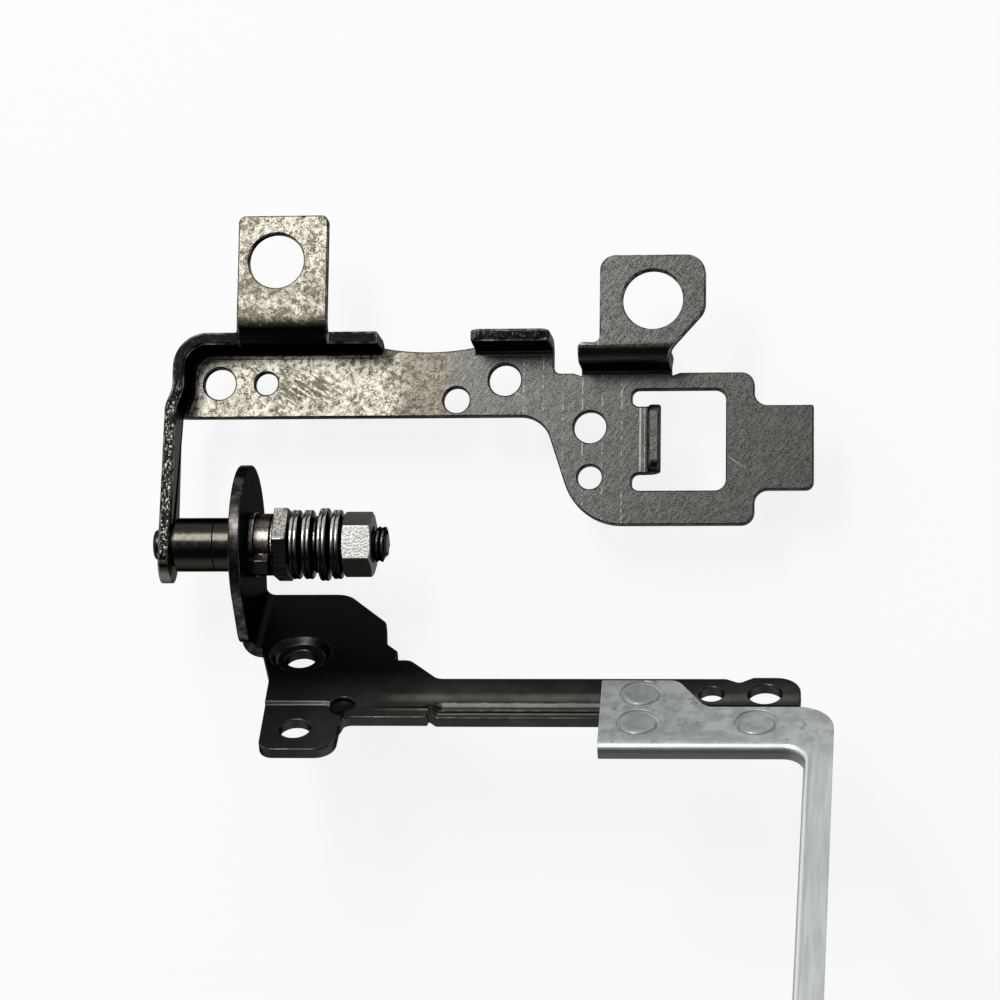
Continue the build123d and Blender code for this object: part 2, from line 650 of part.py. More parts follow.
# Lock nut, with its corners turned off at both ends
NUT_CORNER = NUT_FLATS / sqrt(3)
with BuildPart() as lock_nut:
    with BuildSketch(SHAFT_PLANE.offset(NUT_START)):
        RegularPolygon(NUT_FLATS / 2, side_count=6, major_radius=False, rotation=NUT_TURN)
        Circle(RUNNING_BORE / 2, mode=Mode.SUBTRACT)
    extrude(amount=NUT_THICK)
    with BuildSketch(SHAFT_SECTION):
        with BuildLine():
            Polyline(
                (NUT_START, 0),
                (NUT_START, NUT_CORNER - NUT_CHAMFER),
                (NUT_START + NUT_CHAMFER / 2, NUT_CORNER),
                (NUT_START + NUT_THICK - NUT_CHAMFER / 2, NUT_CORNER),
                (NUT_START + NUT_THICK, NUT_CORNER - NUT_CHAMFER),
                (NUT_START + NUT_THICK, 0),
                close=True,
            )
        make_face()
    revolve(axis=SHAFT_AXIS, mode=Mode.INTERSECT)
lock_nut.part.label = "lock_nut"
export_step(lock_nut.part, "parts/lock_nut.step")

# Places of the rail and its rivets on the lid
STRIP_BOTTOM = STRIP_TOP + STRIP_WIDTH
RAIL_START = LID_LENGTH - RAIL_LAP
RAIL_TOP = STRIP_TOP + RAIL_TOP_GAP
RAIL_SEAT_START = RAIL_START + RAIL_SEAT_INSET
SEAT_BOTTOM = STRIP_BOTTOM + RAIL_SEAT_WIDTH
RIVET_PLACES = (
    (RAIL_START + RIVET_INSET, RAIL_TOP + RIVET_EDGE),
    (RAIL_START + RIVET_INSET, RAIL_TOP + RIVET_EDGE + RIVET_ROW_PITCH),
    (RAIL_START + RIVET_INSET + RIVET_PITCH, RAIL_TOP + RIVET_EDGE + RIVET_ROW_PITCH),
)
RIVET_HOLE = RIVET_SHANK / 2 + RUNNING_CLEARANCE
RIVET_SEAT = RIVET_HEAD / 2 + RIVET_GROOVE

# Lid bracket's outline, with the screw tab, the stepped neck and the end lug
LUG_TOP = STRIP_TOP - LUG_RISE
LUG_START = LID_LENGTH - LUG_LENGTH
LID_TAB_BOTTOM = STRIP_BOTTOM + LID_TAB_REACH
LID_TAB_RIGHT = LID_TAB_SIDE + LID_TAB_WIDTH
LEDGE_TOP = STRIP_BOTTOM - LEDGE_WIDTH
LEDGE_BOTTOM = STRIP_BOTTOM - LEDGE_TRIM
EAR_FOOT = -LID_DROP + LID_BEND
with BuildSketch() as lid_plan:
    with BuildLine():
        FilletPolyline(
            lid_point((LID_FOLD, -EAR_BACK)),
            lid_point((SHOULDER_FLAT, -EAR_BACK)),
            lid_point((SHOULDER_SIDE, SHOULDER_DROP - EAR_BACK)),
            lid_point((NECK_SIDE, NECK_DROP - EAR_BACK)),
            lid_point((NECK_SIDE + NECK_STEP, NECK_DROP + NECK_STEP_DROP - EAR_BACK)),
            lid_point((NECK_SIDE + NECK_STEP, NECK_SHELF)),
            lid_point((NECK_SIDE + NECK_STEP + NECK_SHELF_LENGTH, NECK_SHELF)),
            lid_point((NECK_SIDE + NECK_STEP + NECK_SHELF_LENGTH + NECK_SLOPE, STRIP_TOP)),
            lid_point((LUG_START - 2 * LUG_DIP_RUN, STRIP_TOP)),
            lid_point((LUG_START - LUG_DIP_RUN, STRIP_TOP + LUG_DIP)),
            lid_point((LUG_START, LUG_TOP)),
            lid_point((LID_LENGTH, LUG_TOP)),
            lid_point((LID_LENGTH, SEAT_BOTTOM)),
            lid_point((RAIL_SEAT_START, SEAT_BOTTOM)),
            lid_point((RAIL_SEAT_START, LEDGE_BOTTOM)),
            lid_point((LEDGE_START, LEDGE_BOTTOM)),
            lid_point((LEDGE_START, STRIP_BOTTOM)),
            lid_point((LID_TAB_RIGHT, STRIP_BOTTOM)),
            lid_point((LID_TAB_RIGHT, LID_TAB_BOTTOM)),
            lid_point((LID_TAB_SIDE + LID_TAB_LEAN, LID_TAB_BOTTOM)),
            lid_point((LID_TAB_SIDE, STRIP_TOP)),
            lid_point((LID_FOLD, FOLD_FRONT)),
            radius=[
                0, SHOULDER_CORNER, LID_CORNER, NECK_CORNER, NECK_CORNER, SHELF_CORNER, LID_CORNER,
                LID_CORNER, STRIP_CORNER, STRIP_CORNER, STRIP_CORNER, LUG_CORNER, LUG_CORNER,
                LID_CORNER, STRIP_CORNER, LEDGE_TRIM_CORNER, LEDGE_TRIM_CORNER, LID_CORNER,
                LID_TAB_RIGHT_CORNER, LID_TAB_LEFT_CORNER, STRIP_CORNER, 0,
            ],
            close=True,
        )
    make_face()

# Outlines of the screw tab's step and of the ledge along the strip, drawn past the plate's edge
STEP_PAST = 2 * LID_SHEET
with BuildSketch() as tab_step:
    with BuildLine():
        FilletPolyline(
            lid_point((-STEP_PAST, LID_TAB_BOTTOM - LID_TAB_REACH - LID_TAB_RAMP)),
            lid_point((LID_TAB_RIGHT + LID_TAB_STEP_SIDE, LID_TAB_BOTTOM - LID_TAB_REACH - LID_TAB_RAMP)),
            lid_point((LID_TAB_RIGHT + LID_TAB_STEP_SIDE, LID_TAB_BOTTOM + STEP_PAST)),
            lid_point((-STEP_PAST, LID_TAB_BOTTOM + STEP_PAST)),
            radius=[0, LID_TAB_STEP_CORNER, 0, 0],
            close=True,
        )
    make_face()
with BuildSketch() as ledge_step:
    with BuildLine():
        FilletPolyline(
            lid_point((LEDGE_START, LEDGE_TOP)),
            lid_point((RAIL_SEAT_START, LEDGE_TOP)),
            lid_point((RAIL_SEAT_START, STRIP_BOTTOM + STEP_PAST)),
            lid_point((LEDGE_START, STRIP_BOTTOM + STEP_PAST)),
            radius=[LEDGE_CORNER, LEDGE_CORNER, 0, 0],
            close=True,
        )
    make_face()
LID_STEPS = ((tab_step, LID_TAB_STEP, LID_TAB_SLOPE), (ledge_step, LEDGE_STEP, LEDGE_SLOPE))

# Lid bracket: plate behind the screen with an ear folded up round the shaft
with BuildPart() as lid_bracket:
    # Plate, with the tab and the ledge pressed back and trimmed to the outline
    with BuildSketch(LID_UNDERSIDE):
        add(lid_plan.sketch)
    extrude(amount=LID_SHEET)
    for step_plan, step, slope in LID_STEPS:
        with BuildSketch(LID_UNDERSIDE):
            add(step_plan.sketch)
        extrude(amount=-step, taper=slope)
    with BuildSketch(LID_UNDERSIDE.offset(-LEDGE_STEP - LID_TAB_STEP)):
        add(lid_plan.sketch)
    extrude(amount=LEDGE_STEP + LID_TAB_STEP + LID_SHEET, mode=Mode.INTERSECT)
    for step_plan, step, slope in LID_STEPS:
        with BuildSketch(LID_TOP_FACE):
            add(step_plan.sketch)
        extrude(amount=-step, taper=slope, mode=Mode.SUBTRACT)

    # Fold between plate and ear
    with BuildSketch(EAR_FOLD_PLANE.offset(-EAR_BACK)):
        with BuildLine():
            FilletPolyline(
                (0, EAR_FOOT + EAR_NOTCH),
                (0, -LID_DROP - LID_SHEET),
                (LID_FOLD + LID_SHEET / 2, -LID_DROP - LID_SHEET),
                (LID_FOLD + LID_SHEET / 2, -LID_DROP),
                (LID_SHEET, -LID_DROP),
                (LID_SHEET, EAR_FOOT + EAR_NOTCH),
                radius=[0, LID_FOLD, 0, 0, LID_BEND, 0],
                close=True,
            )
        make_face()
    extrude(amount=EAR_BACK + FOLD_FRONT)

    # Ear, round at the shaft and drawn in towards the fold
    flank_out = EAR_RADIUS * cos(radians(EAR_FLANK))
    flank_down = EAR_RADIUS * sin(radians(EAR_FLANK))
    with BuildSketch(EAR_PLANE):
        Circle(EAR_RADIUS)
        with BuildLine():
            FilletPolyline(
                (-EAR_FRONT, EAR_FOOT + EAR_NOTCH),
                (-FOLD_FRONT, EAR_FOOT),
                (EAR_BACK, EAR_FOOT),
                (flank_out, -flank_down),
                (-flank_out, -flank_down),
                radius=[EAR_FOOT_RADIUS, 0, 0, 0, 0],
                close=True,
            )
        make_face()
        Circle(RUNNING_BORE / 2, mode=Mode.SUBTRACT)
    extrude(amount=LID_SHEET)

    # Dimple pressed round the hole beside the ear
    for plane, mode in ((LID_UNDERSIDE, Mode.ADD), (LID_TOP_FACE, Mode.SUBTRACT)):
        with BuildSketch(plane):
            with Locations(lid_point((DIMPLE_ALONG, DIMPLE_AWAY))):
                Circle(DIMPLE_DIAMETER / 2)
        extrude(amount=-DIMPLE_DEPTH, taper=DIMPLE_SLOPE, mode=mode)

    # Screw, locating and rivet holes
    end_hole = (LID_LENGTH - LID_END_HOLE_INSET, STRIP_TOP + LID_END_ROW)
    end_pin = (LID_LENGTH - LID_END_HOLE_INSET - LID_END_PIN_PITCH, STRIP_TOP + LID_END_ROW)
    tab_hole = (LID_TAB_SIDE + LID_TAB_HOLE_SIDE, LID_TAB_BOTTOM - LID_TAB_HOLE_EDGE)
    with BuildSketch(LID_TOP_FACE):
        with Locations(lid_point((DIMPLE_ALONG, DIMPLE_AWAY))):
            Circle(DIMPLE_HOLE / 2)
        with Locations(lid_point(tab_hole)):
            Circle(LID_SCREW_HOLE / 2)
        with Locations(lid_point((LID_PIN_ALONG, STRIP_BOTTOM - LID_PIN_EDGE)), lid_point(end_pin)):
            Circle(LID_PIN_HOLE / 2)
        with Locations(lid_point(end_hole)):
            Circle(LID_END_HOLE / 2)
        with Locations([lid_point(place) for place in RIVET_PLACES]):
            Circle(RIVET_HOLE)
    extrude(amount=-2 * LID_SHEET, mode=Mode.SUBTRACT)
lid_bracket.part.label = "lid_bracket"
export_step(lid_bracket.part, "parts/lid_bracket.step")

# Screen rail: a flat arm and leg with a flange turned down along the inner side
RAIL_END = RAIL_START + RAIL_LENGTH
RAIL_ARM_TOP = RAIL_TOP + RAIL_HEAD_DROP
RAIL_ARM_BOTTOM = RAIL_ARM_TOP + RAIL_ARM_WIDTH
RAIL_LEG_INNER = RAIL_END - RAIL_LEG_WIDTH
RAIL_LEG_END = RAIL_ARM_BOTTOM + RAIL_LEG_LENGTH
RAIL_PAST = 2 * RAIL_SHEET
with BuildPart() as screen_rail:
    with BuildSketch(LID_TOP_FACE.offset(RAIL_SHEET - RAIL_FLANGE)):
        with BuildLine():
            FilletPolyline(
                lid_point((RAIL_START, RAIL_TOP)),
                lid_point((RAIL_START + RAIL_HEAD_LENGTH, RAIL_TOP)),
                lid_point((RAIL_START + RAIL_HEAD_LENGTH + RAIL_HEAD_RUN, RAIL_ARM_TOP)),
                lid_point((RAIL_END, RAIL_ARM_TOP)),
                lid_point((RAIL_END, RAIL_LEG_END)),
                lid_point((RAIL_LEG_INNER, RAIL_LEG_END)),
                lid_point((RAIL_LEG_INNER, RAIL_ARM_BOTTOM)),
                lid_point((RAIL_START + RAIL_LEAN, RAIL_ARM_BOTTOM)),
                radius=[
                    RAIL_HEAD_CORNER, RAIL_HEAD_RADIUS, RAIL_HEAD_RADIUS, RAIL_OUTER_CORNER,
                    RAIL_END_CORNER, 0, RAIL_INNER_CORNER, 0,
                ],
                close=True,
            )
        make_face()
    extrude(amount=RAIL_FLANGE)
    with BuildSketch(LID_TOP_FACE):
        with BuildLine():
            FilletPolyline(
                lid_point((RAIL_START - RAIL_PAST, RAIL_ARM_BOTTOM - RAIL_SHEET)),
                lid_point((RAIL_LEG_INNER + RAIL_SHEET, RAIL_ARM_BOTTOM - RAIL_SHEET)),
                lid_point((RAIL_LEG_INNER + RAIL_SHEET, RAIL_LEG_END + RAIL_PAST)),
                lid_point((RAIL_END + RAIL_PAST, RAIL_LEG_END + RAIL_PAST)),
                lid_point((RAIL_END + RAIL_PAST, RAIL_TOP - RAIL_PAST)),
                lid_point((RAIL_START - RAIL_PAST, RAIL_TOP - RAIL_PAST)),
                radius=[0, RAIL_INNER_CORNER + RAIL_SHEET, 0, 0, 0, 0],
                close=True,
            )
        make_face()
    extrude(amount=-RAIL_FLANGE, mode=Mode.SUBTRACT)

    # Round the fold outside and inside
    for height, inset, radius in ((RAIL_SHEET, 0, RAIL_FOLD), (0, RAIL_SHEET, RAIL_BEND)):
        arm_edge = RAIL_ARM_BOTTOM - inset - TOLERANCE
        fold = screen_rail.edges().filter_by_position(LID_HEIGHTS, height - TOLERANCE, height + TOLERANCE)
        fold = fold.filter_by_position(LID_DISTANCES, arm_edge, RAIL_LEG_END - TOLERANCE)
        fold = fold.filter_by_position(Axis.X, EAR_START, EAR_START + RAIL_LEG_INNER + inset + TOLERANCE)
        fillet(fold, radius=radius)

    # Rivet holes, let in for the flush heads
    for plane, hole, depth in (
        (LID_TOP_FACE, RIVET_HOLE, RAIL_SHEET),
        (LID_TOP_FACE.offset(RAIL_SHEET - RIVET_HEAD_DEPTH), RIVET_SEAT, RIVET_HEAD_DEPTH),
    ):
        with BuildSketch(plane):
            with Locations([lid_point(place) for place in RIVET_PLACES]):
                Circle(hole)
        extrude(amount=depth, mode=Mode.SUBTRACT)
screen_rail.part.label = "screen_rail"
export_step(screen_rail.part, "parts/screen_rail.step")

# Flush rivets between the rail and the lid bracket
for index, place in enumerate(RIVET_PLACES):
    with BuildPart() as rail_rivet:
        with BuildSketch(LID_UNDERSIDE):
            with Locations(lid_point(place)):
                Circle(RIVET_SHANK / 2)
        extrude(amount=LID_SHEET + RAIL_SHEET - RIVET_HEAD_DEPTH)
        for plane, height in (
            (LID_TOP_FACE.offset(RAIL_SHEET - RIVET_HEAD_DEPTH), RIVET_HEAD_DEPTH),
            (LID_UNDERSIDE, -RIVET_HEAD_DEPTH),
        ):
            with BuildSketch(plane):
                with Locations(lid_point(place)):
                    Circle(RIVET_HEAD / 2)
            extrude(amount=height)
    rail_rivet.part.label = f"rail_rivet_{index + 1}"
    export_step(rail_rivet.part, f"parts/rail_rivet_{index + 1}.step")
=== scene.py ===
import logging
import math
from dataclasses import dataclass
from enum import Enum, IntEnum

import bmesh
import bpy
from mathutils import Euler, Matrix, Vector
from mathutils.bvhtree import BVHTree


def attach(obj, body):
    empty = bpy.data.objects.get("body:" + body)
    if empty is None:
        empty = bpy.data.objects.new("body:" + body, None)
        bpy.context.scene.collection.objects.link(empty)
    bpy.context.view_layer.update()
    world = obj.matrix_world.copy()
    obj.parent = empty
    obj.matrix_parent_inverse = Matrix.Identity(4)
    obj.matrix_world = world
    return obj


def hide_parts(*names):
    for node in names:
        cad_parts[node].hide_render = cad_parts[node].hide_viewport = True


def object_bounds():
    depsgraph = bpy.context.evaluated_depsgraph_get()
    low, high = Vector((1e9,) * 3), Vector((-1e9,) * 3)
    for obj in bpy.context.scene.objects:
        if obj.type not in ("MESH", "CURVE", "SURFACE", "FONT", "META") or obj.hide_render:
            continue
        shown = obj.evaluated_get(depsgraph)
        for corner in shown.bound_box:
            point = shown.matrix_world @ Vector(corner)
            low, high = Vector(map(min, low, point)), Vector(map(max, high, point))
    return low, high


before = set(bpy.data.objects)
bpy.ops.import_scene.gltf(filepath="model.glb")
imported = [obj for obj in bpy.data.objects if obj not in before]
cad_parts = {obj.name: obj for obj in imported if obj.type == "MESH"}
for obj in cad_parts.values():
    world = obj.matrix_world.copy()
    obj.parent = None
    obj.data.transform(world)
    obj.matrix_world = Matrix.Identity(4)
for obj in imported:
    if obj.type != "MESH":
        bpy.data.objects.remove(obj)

MM = 0.001
WELD = 0.002
SEAM = 0.001
TURNED_SHARP = 40.0
LOG = logging.getLogger("hinge")
CAD_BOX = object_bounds()

Triple = tuple[float, float, float]
Socket = bpy.types.NodeSocket


class Body(Enum):
    """The two rigid bodies that the hinge joins."""

    BASE = "base"
    LID = "lid"


class Slot(Enum):
    """The record's material slots."""

    BASE = "base_plating"
    LID = "lid_black"
    RAIL = "rail_zinc"
    RIVET = "rivet_zinc"
    SHAFT = "shaft_steel"
    WASHER = "washer_steel"
    SPRING = "spring_steel"
    NUT = "nut_plating"


class BaseFace(IntEnum):
    """The base bracket's finishes, in the order of its materials."""

    PLATE = 0
    EDGE = 1
    RIM = 2
    # The fold finish is painted shade on steep faces, and the high-edge finish is a painted highlight on the
    # edges high on the walls.
    FOLD = 3
    HIGHLIGHT_EDGE = 4


class LidFace(IntEnum):
    """The lid bracket's finishes, in the order of its materials."""

    PLATE = 0
    EDGE = 1
    EAR_RIM = 2


@dataclass(frozen=True)
class Axes:
    """A sub-assembly's own axes, in millimetres."""

    origin: Triple = (0.0, 0.0, 0.0)
    tilt: float = 0.0

    def matrix(self) -> Matrix:
        """The step from these axes to the frame, in metres."""
        turn = Matrix.Rotation(math.radians(self.tilt), 4, "X")
        return Matrix.Translation(Vector(self.origin) * MM) @ turn

    def local(self, point: Vector) -> Vector:
        """A point of the frame in these axes, in millimetres."""
        return (self.matrix().inverted() @ point) / MM


LID_AXES = Axes((3.25, -16.8, 4.9), -49.0)


class Sketch:
    """A shader tree under construction, with short calls for the nodes that the finishes share."""

    def __init__(self, name: str) -> None:
        """Start a material from an empty tree with an output and a Principled shader.

        Args:
            name: the material's name.
        """
        self.material = bpy.data.materials.new(name)
        self.material.use_nodes = True
        self.tree = self.material.node_tree
        self.tree.nodes.clear()
        output = self.tree.nodes.new("ShaderNodeOutputMaterial")
        self.shader = self.tree.nodes.new("ShaderNodeBsdfPrincipled")
        self.join(self.shader.outputs["BSDF"], output.inputs["Surface"])
        self.coordinates = self.tree.nodes.new("ShaderNodeTexCoord")

    def join(self, source: Socket, target: Socket) -> None:
        """Link one socket to another."""
        self.tree.links.new(source, target)

    def feed(self, target: Socket, value: Socket | float | Triple) -> None:
        """Give an input a link or a constant.

        Args:
            target: the input socket.
            value: another node's output, a number or a colour.
        """
        if isinstance(value, bpy.types.NodeSocket):
            self.join(value, target)
        elif isinstance(value, tuple) and target.type == "RGBA":
            target.default_value = (*value, 1.0)
        else:
            target.default_value = value

    def set(self, **constants: float | Triple) -> None:
        """Set the shader's own sockets to constants.

        Args:
            constants: socket names, with underscores for spaces.
        """
        for name, value in constants.items():
            self.feed(self.shader.inputs[name.replace("_", " ")], value)

    def millimetres(self, stretch: Triple = (1.0, 1.0, 1.0), turn: Triple = (0.0, 0.0, 0.0)) -> Socket:
        """Object coordinates in millimetres.

        Args:
            stretch: how much each axis is squeezed before a pattern reads it.
            turn: Euler angles of the pattern, in degrees.

        Returns:
            The mapped vector.
        """
        turned = self.tree.nodes.new("ShaderNodeMapping")
        turned.inputs["Rotation"].default_value = tuple(math.radians(a) for a in turn)
        self.join(self.coordinates.outputs["Object"], turned.inputs["Vector"])
        mapping = self.tree.nodes.new("ShaderNodeMapping")
        mapping.inputs["Scale"].default_value = tuple(s / MM for s in stretch)
        self.join(turned.outputs["Vector"], mapping.inputs["Vector"])
        return mapping.outputs["Vector"]

    def noise(self, vector: Socket, scale: float, detail: float = 3.0, rough: float = 0.55) -> Socket:
        """Fractal noise.

        Args:
            vector: coordinates in millimetres.
            scale: features per millimetre.
            detail: octaves.
            rough: weight of the fine octaves.

        Returns:
            The noise value, about 0.5 on average.
        """
        node = self.tree.nodes.new("ShaderNodeTexNoise")
        node.inputs["Scale"].default_value = scale
        node.inputs["Detail"].default_value = detail
        node.inputs["Roughness"].default_value = rough
        self.join(vector, node.inputs["Vector"])
        return node.outputs["Fac"]

    def band(self, value: Socket, low: float, high: float, start: float = 0.0, end: float = 1.0) -> Socket:
        """Map a range of values smoothly onto another.

        Args:
            value: the input.
            low: value that gives start.
            high: value that gives end.
            start: result at low.
            end: result at high.

        Returns:
            The mapped value, clamped to start and end.
        """
        node = self.tree.nodes.new("ShaderNodeMapRange")
        node.interpolation_type = "SMOOTHSTEP"
        for name, number in (("From Min", low), ("From Max", high), ("To Min", start), ("To Max", end)):
            node.inputs[name].default_value = number
        self.join(value, node.inputs["Value"])
        return node.outputs["Result"]

    def maths(self, operation: str, first: Socket | float, second: Socket | float) -> Socket:
        """One arithmetic step, with its result clamped to 0 and 1.

        Args:
            operation: Blender's name of the operation.
            first: left operand.
            second: right operand.

        Returns:
            The result.
        """
        node = self.tree.nodes.new("ShaderNodeMath")
        node.operation = operation
        node.use_clamp = True
        self.feed(node.inputs[0], first)
        self.feed(node.inputs[1], second)
        return node.outputs["Value"]

    def raw(self, operation: str, *operands: Socket | float) -> Socket:
        """One arithmetic step that is not clamped.

        Args:
            operation: Blender's name of the operation.
            operands: two or three operands.

        Returns:
            The result.
        """
        node = self.tree.nodes.new("ShaderNodeMath")
        node.operation = operation
        for target, value in zip(node.inputs, operands):
            self.feed(target, value)
        return node.outputs["Value"]

    def within(self, value: Socket, low: float, high: float, soft: float) -> Socket:
        """1 inside a range and 0 outside it.

        Args:
            value: the input.
            low: start of the range.
            high: end of the range.
            soft: half the width of each edge.

        Returns:
            The mask.
        """
        rise = self.band(value, low - soft, low + soft)
        return self.maths("MULTIPLY", rise, self.band(value, high + soft, high - soft))

    def blend(self, share: Socket | float, first: Socket | Triple, second: Socket | Triple) -> Socket:
        """Mix two colours.

        Args:
            share: 0 for the first colour, 1 for the second.
            first: a colour.
            second: a colour.

        Returns:
            The mixed colour.
        """
        node = self.tree.nodes.new("ShaderNodeMix")
        node.data_type = "RGBA"
        self.feed(node.inputs[0], share)
        self.feed(node.inputs[6], first)
        self.feed(node.inputs[7], second)
        return node.outputs[2]

    def facing(self, direction: Triple) -> Socket:
        """How far the surface faces a way.

        Args:
            direction: the way, in the object's axes.

        Returns:
            The dot product with the surface's own normal.
        """
        node = self.tree.nodes.new("ShaderNodeVectorMath")
        node.operation = "DOT_PRODUCT"
        node.inputs[1].default_value = direction
        self.join(self.coordinates.outputs["Normal"], node.inputs[0])
        return node.outputs["Value"]

    def flatness(self) -> Socket:
        """1 on level surfaces and 0 on upright ones."""
        return self.raw("ABSOLUTE", self.facing((0.0, 0.0, 1.0)))

    def place(self, axes: Axes = Axes()) -> dict[str, Socket]:
        """The three coordinates in a sub-assembly's own axes, in millimetres.

        Args:
            axes: the axes.

        Returns:
            The outputs X, Y and Z.
        """
        shift, turn, _ = axes.matrix().inverted().decompose()
        mapping = self.tree.nodes.new("ShaderNodeMapping")
        mapping.inputs["Location"].default_value = shift / MM
        mapping.inputs["Rotation"].default_value = turn.to_euler()
        mapping.inputs["Scale"].default_value = (1 / MM, 1 / MM, 1 / MM)
        self.join(self.coordinates.outputs["Object"], mapping.inputs["Vector"])
        split = self.tree.nodes.new("ShaderNodeSeparateXYZ")
        self.join(mapping.outputs["Vector"], split.inputs["Vector"])
        return {axis: split.outputs[axis] for axis in "XYZ"}

    def scratches(self, turn: float, spacing: float, rare: float) -> Socket:
        """Thin straight marks of uneven length, all running one way.

        Args:
            turn: direction in the plate's plane, in degrees.
            spacing: marks per millimetre across.
            rare: noise value above which a mark shows.

        Returns:
            1 on a mark and 0 elsewhere.
        """
        value = self.noise(self.millimetres((1.0, 0.05, 1.0), (0.0, 0.0, turn)), spacing, 1.0, 0.4)
        return self.band(value, rare, rare + 0.03)

    def bump(self, value: Socket, depth: float) -> None:
        """Raise the surface by a pattern.

        Args:
            value: the pattern, 0 to 1.
            depth: height of the pattern in millimetres.
        """
        node = self.tree.nodes.new("ShaderNodeBump")
        node.inputs["Strength"].default_value = 1.0
        node.inputs["Distance"].default_value = depth * MM
        self.join(value, node.inputs["Height"])
        self.join(node.outputs["Normal"], self.shader.inputs["Normal"])


